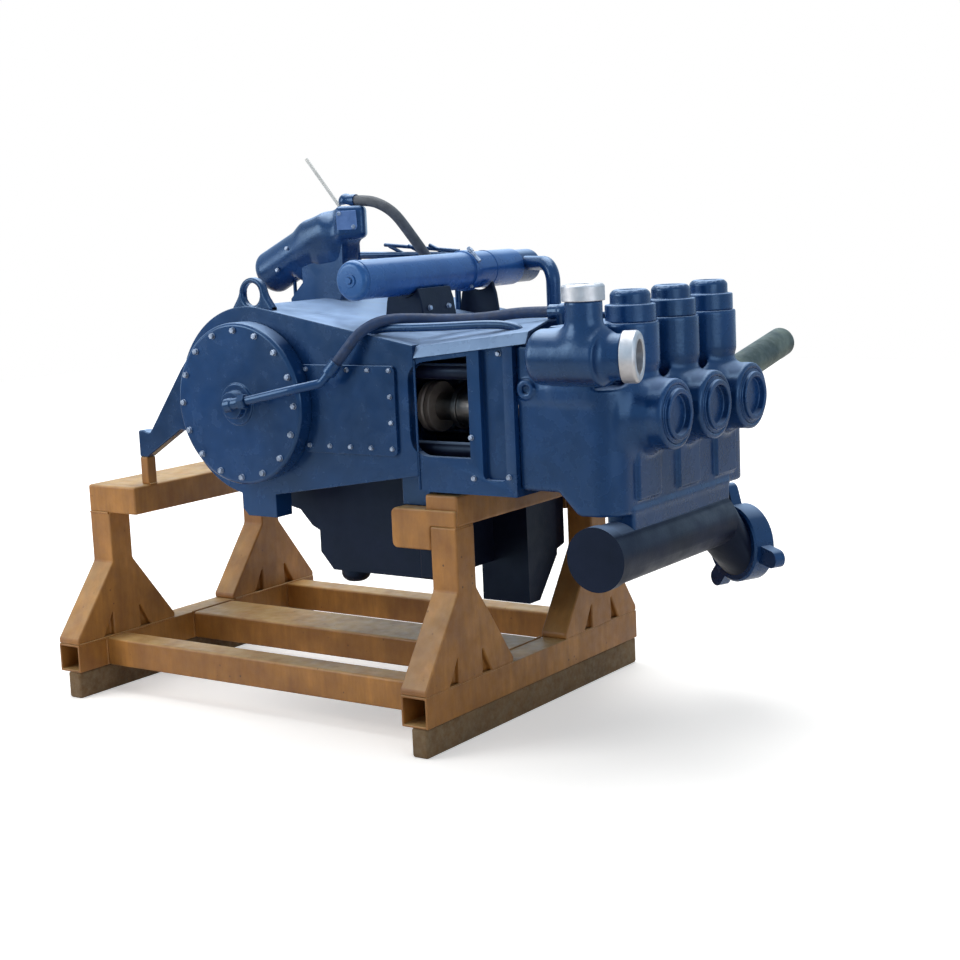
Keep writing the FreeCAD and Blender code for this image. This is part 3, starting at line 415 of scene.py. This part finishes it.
def loft(bm, rings):
    """Joins rings that have as many vertices, and closes both ends."""
    for low, high in zip(rings, rings[1:]):
        for k in range(len(low)):
            n = (k + 1) % len(low)
            bm.faces.new([low[k], low[n], high[n], high[k]])
    bm.faces.new(rings[0][::-1])
    bm.faces.new(rings[-1])


def prism(bm, *outlines):
    """Solid in a bmesh between two outlines that have as many points."""
    loft(bm, [[bm.verts.new(at(*point)) for point in outline] for outline in outlines])


def plates(name, outline, reaches, finish, radius, *nodes):
    """Plates cut to one outline of (x, z) points in millimetres, each between two distances across."""
    bm = bmesh.new()
    for ends in reaches:
        prism(bm, *([(x, y, z) for x, z in outline] for y in ends))
    return rounded(from_bmesh(name, bm, 28), radius, finish, *nodes, sharp=28)


def rounded(obj, radius, finish, *nodes, sharp=32, body="pump"):
    """Rounds the sharp edges of a piece and settles it."""
    bevel = obj.modifiers.new("worn edges", "BEVEL")
    bevel.width = radius
    bevel.segments = 3
    bevel.limit_method = "ANGLE"
    bevel.angle_limit = math.radians(sharp)
    bevel.harden_normals = True
    bevel.miter_outer = "MITER_ARC"
    return settle(obj, finish, *nodes, body=body)


def recess(obj, low, high, corner):
    """Cuts a shallow bay with round corners out of a piece, between two corners in millimetres."""
    bm = bmesh.new()
    outline = []
    quarters = ((high[0], high[2], 0), (low[0], high[2], 90), (low[0], low[2], 180), (high[0], low[2], 270))
    for cx, cz, start in quarters:
        for k in range(7):
            angle = math.radians(start + 15 * k)
            x = cx + corner * (math.cos(angle) - (1 if cx == high[0] else -1))
            z = cz + corner * (math.sin(angle) - (1 if cz == high[2] else -1))
            outline.append((x, z))
    prism(bm, *([(x, y, z) for x, z in outline] for y in (low[1], high[1])))
    cutter = from_bmesh("cutter", bm)
    cut = obj.modifiers.new("bay", "BOOLEAN")
    cut.object = cutter
    obj.modifiers.move(len(obj.modifiers) - 1, 0)
    others = obj.modifiers[1:]
    for other in others:
        other.show_viewport = False
    bpy.context.view_layer.update()
    mesh = bpy.data.meshes.new_from_object(obj.evaluated_get(bpy.context.evaluated_depsgraph_get()))
    obj.modifiers.remove(cut)
    obj.data = mesh
    for other in others:
        other.show_viewport = True
    bpy.data.objects.remove(cutter)


def circle(centre, way, radius, count):
    """Places of a bolt circle, its radius in millimetres, with the way that the heads face."""
    turn = Z.rotation_difference(way)
    places = []
    for k in range(count):
        angle = 2 * math.pi * k / count
        places.append((centre + turn @ (Vector((math.cos(angle), math.sin(angle), 0)) * radius * MM), way))
    return places


def hoop(bm, start, turn, along, radius, count):
    """Ring of vertices round a turned axis, so many millimetres along it."""
    angles = [2 * math.pi * k / count for k in range(count)]
    return [bm.verts.new(start + turn @ (Vector((radius * math.cos(a), radius * math.sin(a), along)) * MM))
            for a in angles]


def lathe(bm, start, way, steps, count=48):
    """Turned shape in a bmesh: steps are (distance along the axis, radius) in millimetres."""
    turn = Z.rotation_difference(way)
    loft(bm, [hoop(bm, start, turn, *step, count) for step in steps])


def hexagon(bm, start, way, flats, height, turn=0.0, washer=True):
    """Chamfered hexagon head on a washer face."""
    corner = flats / math.sqrt(3)
    rim = flats * 0.62
    if washer:
        lathe(bm, start, way, [(0, rim), (height * 0.14, rim), (height * 0.18, flats * 0.58)], 20)
    spin = Z.rotation_difference(way) @ Quaternion(Z, turn)
    levels = ((height * 0.12, corner), (height * 0.86, corner), (height, corner * 0.88))
    loft(bm, [hoop(bm, start, spin, *level, 6) for level in levels])


def bolts(name, places, flats, finish="zinc_and_glint", washer=True):
    """Joined bolt heads at (point, direction) places, each turned its own way."""
    bm = bmesh.new()
    turns = random.Random(name)
    for point, way in places:
        hexagon(bm, point, way, flats, flats * 0.6, turns.uniform(0, math.pi), washer)
    return settle(from_bmesh(name, bm, 25), finish)


def weld(name, runs, finish, width):
    """Fillet weld beads: rippled rods laid along straight runs of points."""
    bm = bmesh.new()
    noise = random.Random(name)
    for points in runs:
        rings = []
        for a, b in zip(points, points[1:]):
            way = b - a
            turn = Z.rotation_difference(way)
            # a ring of the bead about every half width
            steps = max(3, int(way.length / (width * 0.45)))
            for s in range(steps + 1):
                swell = width / 2 * (0.85 + 0.16 * math.sin(s * 2.2) + 0.08 * noise.random())
                rings.append(hoop(bm, a + way * (s / steps), turn, 0, swell / MM, 8))
        loft(bm, rings)
    return settle(from_bmesh(name, bm, 80), finish)


def seam(*points):
    """Run of a weld, its points in millimetres."""
    return [at(*point) for point in points]


# Castings: distance fields in millimetres, blended with fillets and skinned on a grid

def softened(q, edge):
    """Distance from a form with a rounded edge, from the distances q to its faces."""
    return np.linalg.norm(np.maximum(q, 0), axis=-1) + np.minimum(q.max(-1), 0) - edge


def soft_box(p, low, high, edge):
    low, high = np.array(low, float), np.array(high, float)
    return softened(np.abs(p - (low + high) / 2) - (high - low) / 2 + edge, edge)


def soft_rod(p, a, b, radius, edge, end_radius=None):
    """Round bar from a to b, tapering to end_radius, with softened rims."""
    a, b = np.array(a, float), np.array(b, float)
    axis = b - a
    length = np.linalg.norm(axis)
    axis = axis / length
    t = (p - a) @ axis
    r = np.linalg.norm(p - a - t[..., None] * axis, axis=-1)
    end_radius = radius if end_radius is None else end_radius
    size = radius + (end_radius - radius) * np.clip(t / length, 0, 1)
    slope = math.cos(math.atan2(abs(end_radius - radius), length))
    side = (r - size) * slope + edge
    cap = np.abs(t - length / 2) - length / 2 + edge
    return softened(np.stack((side, cap), -1), edge)


def soft_ball(p, centre, radius, squash):
    """Ball that is flattened upright to a part of its height."""
    q = (p - np.array(centre, float)) / np.array((1, 1, squash))
    return (np.linalg.norm(q, axis=-1) - radius) * squash


def slab(p, axis, middle, half):
    """Endless flat slab across an axis."""
    return np.abs(p[..., axis] - middle) - half


def rounded_plan(p, front, half, radius):
    """Endless upright prism whose two front corners are rounded."""
    q = np.abs(np.stack((p[..., 0] - front + 2 * half, p[..., 1]), -1)) - np.array((2 * half, half)) + radius
    return softened(q, radius)


def fillet(a, b, size):
    """Union of two fields with a fillet."""
    h = np.maximum(size - np.abs(a - b), 0) / size
    return np.minimum(a, b) - h * h * size / 4


def hollow(a, b, size):
    """First field less the second, with a softened rim."""
    return -fillet(-a, b, size)


def common(a, b, size):
    """What both fields hold, with a softened rim."""
    return -fillet(-a, -b, size)


def skin(name, field, low, high, cell, finish, *nodes):
    """Surface net over a field on a grid between two corners, in millimetres."""
    low = np.array(low, float)
    counts = np.ceil((np.array(high, float) - low) / cell).astype(int) + 1
    ticks = [low[k] + cell * np.arange(counts[k]) for k in range(3)]
    grid = np.stack(np.meshgrid(*ticks, indexing="ij"), -1)
    values = field(grid)
    inside = values < 0
    corners = [(i, j, k) for i in (0, 1) for j in (0, 1) for k in (0, 1)]
    cells = tuple(n - 1 for n in counts)

    def part(array, o):
        return array[o[0]:o[0] + cells[0], o[1]:o[1] + cells[1], o[2]:o[2] + cells[2]]

    total = sum(part(inside, o).astype(int) for o in corners)
    active = (total > 0) & (total < 8)
    where = np.argwhere(active)
    place = np.zeros((len(where), 3))
    hits = np.zeros(len(where))
    for a in corners:
        for axis in range(3):
            if a[axis]:
                continue
            b = tuple(a[k] + (k == axis) for k in range(3))
            va = part(values, a)[active]
            vb = part(values, b)[active]
            cut = (va < 0) != (vb < 0)
            t = np.where(cut, va / np.where(va == vb, 1, va - vb), 0)
            point = where + np.array(a) + np.eye(3)[axis] * t[:, None]
            place += point * cut[:, None]
            hits += cut
    points = low + cell * place / hits[:, None]
    # two steps down the slope put the points on the surface
    step = cell * 0.25
    nudges = np.eye(3) * step
    for _ in range(2):
        value = field(points)
        rises = [field(points + nudge) - field(points - nudge) for nudge in nudges]
        slope = np.stack(rises, -1) / (2 * step)
        size = np.maximum((slope ** 2).sum(-1), 0.25)
        move = np.clip(value / size, -cell / 2, cell / 2)
        points = points - slope * move[:, None]
    index = np.full(active.shape, -1)
    index[active] = np.arange(len(where))
    faces = []
    for axis in range(3):
        u, v = [k for k in range(3) if k != axis]
        edge = [slice(1, cells[k]) for k in range(3)]
        edge[axis] = slice(0, cells[axis])
        ahead = list(edge)
        ahead[axis] = slice(1, cells[axis] + 1)
        first = inside[tuple(edge)]
        second = inside[tuple(ahead)]
        crossing = np.argwhere(first != second)
        crossing[:, u] += 1
        crossing[:, v] += 1
        rising = first[first != second]
        ring = []
        for du, dv in ((1, 1), (0, 1), (0, 0), (1, 0)):
            spot = crossing.copy()
            spot[:, u] -= du
            spot[:, v] -= dv
            ring.append(index[tuple(spot.T)])
        quads = np.stack(ring, -1)
        flip = rising if axis != 1 else ~rising
        quads[~flip] = quads[~flip][:, ::-1]
        faces.append(quads)
    quads = np.concatenate(faces)
    mesh = bpy.data.meshes.new(name)
    world = points * MM + np.array(CRANK)
    mesh.from_pydata(world.tolist(), [], quads.tolist())
    mesh.polygons.foreach_set("use_smooth", [True] * len(mesh.polygons))
    mesh.update()
    obj = bpy.data.objects.new(name, mesh)
    bpy.context.scene.collection.objects.link(obj)
    return settle(obj, finish, *nodes)


class PUMP_OT_finishes(bpy.types.Operator):
    """Makes the paints, steels and rubber, and gives the plain ones to the construction"""
    bl_idname = "pump.finishes"
    bl_label = "Finishes"

    def execute(self, context):
        finishes.update(make_finishes())
        slots = {part["node"]: part["material_slot"] for part in frame["record"]["subparts"]}
        for node, obj in frame["nodes"].items():
            finish = finishes[PAINTS[slots[node]][0]]
            for place in obj.material_slots:
                place.material = finish
        return {"FINISHED"}


class PUMP_OT_hoses(bpy.types.Operator):
    """Lays the two free hoses: from the lube pipe to the discharge cross, and from the drive to the casing"""
    bl_idname = "pump.hoses"
    bl_label = "Hoses"

    def execute(self, context):
        lube = ((317.4, -389.6, 107.7), (338.8, -383.2, 133.3), (375, -368, 180), (413, -326, 206),
                (472, -276, 204), (555, -246, 199), (660, -238, 203), (752, -240, 216), (832, -240, 216))
        line("packing_hose", lube, 26, "rubber", "lube_hose")
        top = ((92, 0, 490.5), (134, 0, 490.5), (173, 9, 476), (200, 25.5, 451), (219, 56, 402),
               (236, 94, 346), (250, 130, 290.6), (250, 130, 230.6))
        line("drive_hose", top, 28, "bare_rubber", "top_hose")
        return {"FINISHED"}


class PUMP_OT_stand(bpy.types.Operator):
    """Builds the welded stand: rounded tube, flared legs, base bars and weld beads"""
    bl_idname = "pump.stand"
    bl_label = "Stand"

    def execute(self, context):
        corner = sizes().stand_corner
        for place in ("front", "rear"):
            worn("runner_tube_" + place, "runner_" + place, "amber", 0.0025)
            worn("base_timber_" + place, "base_bar_" + place, "shaded_primer", corner)
            worn("post_beam_" + place, "top_beam_" + place, "amber", corner)
            for side in ("near", "far"):
                worn("leg_%s_%s" % (place, side), "trestle_%s_%s" % (place, side), "amber", 0.005)
        for place in ("near", "middle", "far"):
            worn("floor_beam_" + place, "cross_beam_" + place, "amber", corner)
        worn("arm_brackets", "front_arms", "amber", corner)
        worn("foot_lugs", "rear_lugs", "amber", 0.004)

        tube_top = -658
        rear_post_top = -320
        runs = []
        for sign in SIDES:
            for x in (-622, -550, 536, 608):
                runs.append(seam((x, sign * 484, tube_top), (x, sign * 128, tube_top)))
            for x, z in ((608, -284), (-622, rear_post_top), (-550, rear_post_top)):
                runs.append(seam((x, sign * 342, z), (x, sign * 270, z)))
            runs.append(seam((-622, sign * 344, rear_post_top), (-554, sign * 344, rear_post_top)))
            runs.append(seam((-447, sign * 285, -244), (-447, sign * 257, -244)))
        for low, high in ((-388, -312), (-50.5, 114.5), (360, 436)):
            for x in (-550, 536):
                runs.append(seam((x, low, -732), (x, low, tube_top), (x, high, tube_top), (x, high, -732)))
        weld("stand_welds", runs, "amber", sizes().weld_width)
        return {"FINISHED"}


class PUMP_OT_power_end(bpy.types.Operator):
    """Dresses the power end: casing, covers, panels, feet, sump and crosshead box"""
    bl_idname = "pump.power_end"
    bl_label = "Power end"

    def execute(self, context):
        edge = sizes().plate_edge
        for name, node, radius in (
                ("casing", "power_frame", 0.004), ("cover_plate_near", "bearing_cover_near", edge),
                ("cover_plate_far", "bearing_cover_far", edge), ("inspection_panels", "side_panels", 0.002),
                ("casing_front_feet", "front_feet", 0.004)):
            worn(name, node, "blue", radius)
        worn("folded_cover", "crosshead_cover", "fold", 0.002)
        worn("sump_pan", "oil_sump", "shade_blue", 0.006)
        bm = bmesh.new()
        shoulder = ((198, -286), (262, -286), (262, -434), (198, -450))
        for sign in SIDES:
            prism(bm, *([(x, sign * y, z) for y, z in shoulder] for x in (440, 532)))
        rounded(from_bmesh("sump_shoulders", bm), 0.006, "shade_blue")
        box = worn("crosshead_box", "crosshead_frame", "blue", edge)
        for y0, y1 in ((-360, -329), (329, 360)):
            recess(box, (698, y0, -164), (763, y1, 150), 14)
        gusset = ((-90, 222), (-168, 200), (-236, 146), (-302, 70), (-431, -102), (-446, -99),
                  (-454, -95), (-475, -97), (-475, -169), (-447, -169), (-318, -90), (-219, -98), (-120, 0))
        plates("casing_rear_feet", gusset, ((-287, -255), (255, 287)), "blue", 0.004, "rear_feet")

        def eye(p, y):
            base = soft_rod(p, (17, y, 226), (17, y, 270), 74, 4, 42)
            bow = fillet(base, soft_rod(p, (17, y - 30, 269), (17, y + 30, 269), 42, 3), 8)
            bow = common(bow, slab(p, 1, y, 10), 5)
            return hollow(bow, soft_box(p, (-13, y - 60, 240), (43, y + 60, 298), 27), 4)

        def eyes(p):
            return np.minimum(eye(p, -334), eye(p, 334))

        skin("eyes", eyes, (-60, -348, 226), (84, 348, 316), 4, "blue", "lifting_eyes")
        runs = [seam((514, sign * 345, -196), (514, sign * 345, 112)) for sign in SIDES]
        weld("casing_welds", runs, "blue", sizes().weld_width)
        return {"FINISHED"}


class PUMP_OT_drive(bpy.types.Operator):
    """Skins the oil pump drive as a casting, with its blank plate, its bolts, its leg and the dip rod"""
    bl_idname = "pump.drive"
    bl_label = "Oil pump drive"

    def execute(self, context):
        tail = np.array((-180.0, 0, 324))
        lean = math.radians(26)
        way = np.array((math.cos(lean), 0, math.sin(lean)))
        head = np.array((72.0, 0, 438))
        turn = math.radians(35)

        def body(p):
            q = p - head
            q = np.stack((q[..., 0] * math.cos(turn) + q[..., 1] * math.sin(turn),
                          q[..., 1] * math.cos(turn) - q[..., 0] * math.sin(turn), q[..., 2]), -1)
            # barrel, lower body, square head, and the two blocks that join them
            motor = soft_rod(p, tail - way * 56, tail + way * 236, 59, 30, 54)
            motor = fillet(motor, soft_rod(p, (-112, 0, 312), (30, 0, 385), 37, 12), 14)
            motor = fillet(motor, soft_box(q, (-39, -46, -44), (39, 46, 40), 14), 34)
            motor = fillet(motor, soft_box(p, (-90, -44, 340), (52, 44, 440), 30), 30)
            return fillet(motor, soft_box(p, (-20, -34, 330), (66, 34, 410), 12), 30)

        skin("drive_casting", body, (-262, -80, 226), (132, 80, 492), 4.5, "cast_blue", "oil_pump_drive")
        spin = Matrix.Translation(at(*head)) @ Matrix.Rotation(turn, 4, "Z") @ Matrix.Translation(-at(*head))
        blank_plate = ((38, 417), (86, 417), (90, 424), (88, 466), (42, 466), (36, 460))
        plate = plates("drive_plate", blank_plate, ((-48, -44),), "plate", 0.001)
        plate.data.transform(spin)
        screws = [(spin @ at(x, -47.5, z), spin.to_3x3() @ -Y) for x, z in ((44, 459), (80, 424))]
        worn("drive_leg", "drive_bracket", "blue", 0.005)
        worn("level_rod", "dip_rod", "rod", 0.001)
        bolts("drive_bolts", [(at(-107, -56, 374), -Y), (at(-143, -57, 318), -Y)] + screws, 9)
        return {"FINISHED"}


class PUMP_OT_filter(bpy.types.Operator):
    """Dresses the filter along the top: can, head, cradle, strap screw, return pipe and rack"""
    bl_idname = "pump.filter"
    bl_label = "Oil filter"

    def execute(self, context):
        low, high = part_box("oil_filter")
        axis_x = (low.x + high.x) / 2
        axis_z = (low.z + high.z) / 2
        near = Vector((axis_x, low.y, axis_z))
        worn("filter_can", "oil_filter", "canister", 0.002)
        worn("filter_top", "filter_head", "blue", 0.006)
        seat = 53
        arc = [(330 + seat * math.cos(math.radians(a)), 298.4 + seat * math.sin(math.radians(a)))
               for a in range(-145, -34, 10)]
        base = [(384, 236), (390, 196), (390, 172), (270, 172), (270, 196), (276, 236)]
        plates("filter_cradle", arc + base, ((-130, 10), (196, 208)), "shade_blue", 0.003, "filter_saddle")
        bolts("cradle_bolts", [(at(386.5, y, 218), X) for y in (-100, -20)], 11)
        worn("return_pipe", "return_elbow", "blue", 0.001)
        worn("rack_rails", "lube_rack", "blue", 0.001)
        rolled = [(0, 47.6), (1, 49.5), (5, 49.5), (7, 47.6)]
        turned("filter_seams", [
            (near + Y * 0.016, Y, rolled),
            (near + Y * 0.0005, -Y, [(0, 16), (3, 16), (4, 15), (4, 9), (0, 9)]),
            (near + Y * 0.560, Y, rolled)], "canister")
        bolts("filter_plug", [(near, -Y)], 14, "canister", False)
        out = Vector((0.72, 0, 0.69)).normalized()
        along = out.cross(Y)
        strap = near + Y * 0.473 + out * 0.053
        turned("strap_screw", [
            (strap - along * 0.02, along, [(0, 4.5), (1, 6), (34, 6), (35, 4.5)]),
            (strap + along * 0.015, along, [(0, 7), (9, 7), (10, 6)])], "zinc_and_glint", 20)
        bolts("strap_bolts", [(strap + along * 0.026, along), (near + Vector((0.030, 0.460, -0.040)), X)], 9)
        return {"FINISHED"}


class PUMP_OT_crosshead(bpy.types.Operator):
    """Finishes the rod lines, glands and stay rods seen through the windows"""
    bl_idname = "pump.crosshead"
    bl_label = "Crossheads"

    def execute(self, context):
        for k in (1, 2, 3):
            body = "plunger_line_%d" % k
            worn("rod_with_clamp_%d" % k, "pony_rod_%d" % k, "clamp", 0.002, body=body)
            worn("ground_plunger_%d" % k, "plunger_%d" % k, "ground", 0.0015, body=body)
        worn("gland_nuts", "packing_glands", "oiled", 0.002)
        worn("stay_bars", "stay_rods", "shade_blue", 0.002)
        return {"FINISHED"}


class PUMP_OT_fluid_end(bpy.types.Operator):
    """Skins the fluid end as one casting with fillets, and seats its caps and covers"""
    bl_idname = "pump.fluid_end"
    bl_label = "Fluid end"

    def execute(self, context):
        cell = sizes().cast_grid / MM
        back, front, wall = 790, 1045, 330
        column_x, column_foot = 1012, 102
        boss_z = -16

        def block(p):
            lower = soft_box(p, (back, -wall, -236), (front, wall, 50), 5)
            lower = common(lower, rounded_plan(p, front, wall, 70), 6)
            slope = (p[..., 0] - 890) * 0.714 + (p[..., 2] + 185) * 0.7
            lower = hollow(lower, np.maximum(slope, p[..., 2] + 185), 8)
            upper = soft_box(p, (back, -wall, 20), (985, wall, 150), 6)
            upper = fillet(upper, soft_box(p, (880, -wall, 20), (985, wall, 190), 6), 14)
            body = fillet(lower, upper, 12)
            body = fillet(body, soft_box(p, (975, -260, -281), (front, 215, -226), 5), 10)
            for y in ROWS:
                foot = (column_x, y, column_foot)
                column = soft_rod(p, foot, (column_x, y, 190), 64, 4)
                body = fillet(body, np.minimum(column, soft_ball(p, foot, 64, 52 / 64)), 18)
            for y in ROWS:
                boss = soft_rod(p, (1020, y, boss_z), (1125, y, boss_z), 80, 7)
                root = soft_rod(p, (1036, y, boss_z), (1077, y, boss_z), 106, 4, 80)
                body = fillet(body, fillet(boss, root, 14), 20)
                body = fillet(body, soft_box(p, (1038, y - 52, -208), (1053, y + 52, -100), 3), 4)
            for y in ROWS:
                # the cover's seat and the plunger's bore
                body = hollow(body, soft_rod(p, (1113, y, boss_z), (1140, y, boss_z), 66.4, 1), 3)
                body = hollow(body, soft_rod(p, (760, y, boss_z), (1114, y, boss_z), 53, 1), 3)
            # small boss with a bore on the near side
            body = fillet(body, soft_rod(p, (818, -340, 48), (818, -300, 48), 23, 3), 6)
            return hollow(body, soft_rod(p, (818, -350, 48), (818, -330, 48), 10, 1), 2)

        skin("fluid_end_casting", block, (778, -348, -290), (1137, 342, 202), cell, "cast_blue", "fluid_end")
        worn("screwed_caps", "valve_caps", "cast_blue", 0.004)
        worn("screwed_covers", "front_covers", "cast_blue", 0.003)
        return {"FINISHED"}


class PUMP_OT_pipework(bpy.types.Operator):
    """Skins the discharge cross, and dresses the unions, the manifold, the lube pipes and the far stub"""
    bl_idname = "pump.pipework"
    bl_label = "Pipework"

    def execute(self, context):
        turn = math.radians(17)
        side = np.array((math.cos(turn), math.sin(turn), 0))
        riser, y, z = 1014, -395, 128
        centre = np.array((riser, y, z), float)

        def cross(p):
            pipe = fillet(soft_rod(p, (888, y, z), (1066, y, z), 62, 22),
                          soft_rod(p, (960, y, z), (1066, y, z), 62, 6), 1)
            body = fillet(pipe, soft_rod(p, centre, (riser, y, 250), 41, 2), 26)
            body = fillet(body, soft_rod(p, centre, centre + side * 86, 50, 2), 18)
            body = fillet(body, soft_rod(p, (954, y, z), (954, -331, z), 62, 4), 12)
            body = hollow(body, soft_rod(p, centre, (riser, y, 270), 25.5, 1), 3)
            return hollow(body, soft_rod(p, centre, centre + side * 110, 32, 1), 3)

        skin("cross_casting", cross, (876, -465, 56), (1112, -318, 256), 4.5, "cast_blue", "discharge_cross")
        worn("union_rings", "discharge_unions", "union", 0.002)
        worn("suction_header", "suction_manifold", "shade_blue", 0.004)
        worn("wing_nut", "suction_union", "cast_blue", 0.006)
        worn("outlet_stub", "far_outlet_stub", "phosphate", 0.001)
        worn("rotary_pipe", "lube_pipe", "blue", 0.0005)
        worn("hose_ends", "hose_fittings", "blue", 0.002)
        run = (Vector((200, -430, 42)) - Vector((0, -456, 0))).normalized()
        turned("rotary_union", [
            (at(0, -426, 0), -Y, [(0, 17), (14, 17), (16, 14), (24, 14)]),
            (at(10, -454.7, 2), run, [(0, 13), (2, 17), (20, 17), (24, 14), (44, 14), (46, 12)])], "blue")
        bolts("rotary_nut", [(at(52, -449.3, 11), run)], sizes().rotary_nut / MM, "blue", False)
        roof = ((352, -338, 130), (366, -326, 172), (400, -318, 184), (489, -312, 185), (577, -306, 187),
                (690, -300, 192), (760, -298, 190), (792, -298, 176), (796, -298, 150))
        line("roof_pipe", roof, 20, "blue")
        return {"FINISHED"}


class PUMP_OT_bolting(bpy.types.Operator):
    """Bolts the bearing covers, the side panels and the crosshead box"""
    bl_idname = "pump.bolting"
    bl_label = "Bolting"

    def execute(self, context):
        # pitch of the panels' bolts along and down, in a frame of 5 by 4
        along, down = 63.8, 62.3
        # faces that the heads sit on, across the pump
        cover, panel, box, bay = 400, 358, 344, 329
        plate = []
        for side, sign in (("near", -1), ("far", 1)):
            ring = circle(at(0, sign * cover, 0), Y * sign, 184, 16)
            bolts("cover_bolts_" + side, ring, sizes().cover_bolt / MM)
            rows = [(at(193 + along * i, sign * panel, 87 - down * j), Y * sign)
                    for i in range(5) for j in range(4) if i in (0, 4) or j in (0, 3)]
            bolts("panel_bolts_" + side, rows, sizes().panel_bolt / MM)
            plate += [(at(x, sign * box, z), Y * sign) for x, z in ((770, -154), (669, -66), (672, -161))]
            plate.append((at(744, sign * bay, 128), Y * sign))
        bolts("plate_bolts", plate, sizes().plate_bolt / MM)
        return {"FINISHED"}


class PUMP_OT_stage(bpy.types.Operator):
    """Sets the floor, the soft lights and the camera at the photograph's angle"""
    bl_idname = "pump.stage"
    bl_label = "Stage"

    def execute(self, context):
        bm = bmesh.new()
        bmesh.ops.create_grid(bm, x_segments=24, y_segments=24, size=9.0)
        floor = from_bmesh("studio_floor", bm)
        floor.data.materials.append(studio_floor("white_lino", colours().floor))

        scene = context.scene
        world = bpy.data.worlds.new("studio")
        scene.world = world
        world.use_nodes = True
        tree = world.node_tree
        tree.nodes.clear()
        # full where the sky is seen or mirrored, dimmer where it lights, most so on the camera's side
        way = add(tree, "ShaderNodeTexCoord").outputs["Generated"]
        side = add(tree, "ShaderNodeVectorMath", {0: way, 1: (0.55, -0.8, 0.0)}, operation="DOT_PRODUCT")
        side = side.outputs["Value"]
        dim = add(tree, "ShaderNodeMapRange", {"Value": side, "From Min": -0.3, "From Max": 0.7,
                                               "To Min": 0.42, "To Max": 0.15}).outputs["Result"]
        path = add(tree, "ShaderNodeLightPath")
        sky = blend_colour(tree, path.outputs["Is Glossy Ray"], (1, 1, 1), (0.58, 0.79, 1.0))
        full = path.outputs["Is Camera Ray"]
        for kind in ("Is Transmission Ray", "Is Glossy Ray"):
            either = add(tree, "ShaderNodeMath", {0: full, 1: path.outputs[kind]}, operation="MAXIMUM")
            full = either.outputs[0]
        strength = add(tree, "ShaderNodeMapRange", {"Value": full, "To Min": dim, "To Max": 1.0})
        back = add(tree, "ShaderNodeBackground", {"Color": sky, "Strength": strength.outputs["Result"]})
        add(tree, "ShaderNodeOutputWorld", {"Surface": back.outputs["Background"]})

        aim = Vector((0, 0, 0.7))
        for name, place, size, power, tint in (
                ("top_softbox", (-0.6, 0.6, 4.2), 3.6, 150, (1, 0.99, 0.97)),
                ("left_softbox", (-2.6, -3.2, 2.4), 2.4, 80, (1, 0.98, 0.95)),
                ("right_softbox", (3.6, -1.6, 1.6), 2.0, 26, (0.95, 0.97, 1))):
            light = bpy.data.lights.new(name, "AREA")
            light.energy = power
            light.size = size
            light.color = tint
            lamp = bpy.data.objects.new(name, light)
            lamp.location = place
            lamp.rotation_euler = (aim - Vector(place)).to_track_quat("-Z", "Y").to_euler()
            scene.collection.objects.link(lamp)

        # camera fitted to the cover's bolt circle and the stand's lines
        azimuth = math.radians(34.99)
        fall = math.radians(8.73)
        roll = math.radians(2.493)
        level = math.cos(fall)
        ahead = Vector((-math.sin(azimuth) * level, math.cos(azimuth) * level, -math.sin(fall)))
        level_right = ahead.cross(Z).normalized()
        down = ahead.cross(level_right)
        right = level_right * math.cos(roll) + down * math.sin(roll)
        low = -level_right * math.sin(roll) + down * math.cos(roll)
        data = bpy.data.cameras.new("camera")
        data.sensor_width = 36
        data.lens = 65.42
        camera = bpy.data.objects.new("camera", data)
        turn = Matrix((right, -low, -ahead)).transposed().to_4x4()
        camera.matrix_world = Matrix.Translation(at(2972.9, -3608.7, 448.0)) @ turn
        scene.collection.objects.link(camera)
        scene.camera = camera
        scene.view_settings.view_transform = "Standard"
        return {"FINISHED"}


STEPS = (PUMP_OT_finishes, PUMP_OT_stage, PUMP_OT_hoses, PUMP_OT_stand, PUMP_OT_power_end, PUMP_OT_drive,
         PUMP_OT_filter, PUMP_OT_crosshead, PUMP_OT_fluid_end, PUMP_OT_pipework, PUMP_OT_bolting)


class PUMP_PT_panel(bpy.types.Panel):
    bl_idname = "PUMP_PT_panel"
    bl_label = "Plunger pump"
    bl_space_type = "VIEW_3D"
    bl_region_type = "UI"
    bl_category = "Pump"

    def draw(self, context):
        for group in (context.scene.pump_sizes, context.scene.pump_colours):
            for name in group.__annotations__:
                self.layout.prop(group, name)
        for step in STEPS:
            self.layout.operator(step.bl_idname)


CLASSES = (PumpSizes, PumpColours) + STEPS + (PUMP_PT_panel,)


def register():
    for item in CLASSES:
        bpy.utils.register_class(item)
    bpy.types.Scene.pump_sizes = PointerProperty(type=PumpSizes)
    bpy.types.Scene.pump_colours = PointerProperty(type=PumpColours)


def unregister():
    del bpy.types.Scene.pump_sizes
    del bpy.types.Scene.pump_colours
    for item in reversed(CLASSES):
        bpy.utils.unregister_class(item)


def main():
    register()
    for step in STEPS:
        group, name = step.bl_idname.split(".")
        getattr(getattr(bpy.ops, group), name)()


if __name__ == "__main__":
    main()
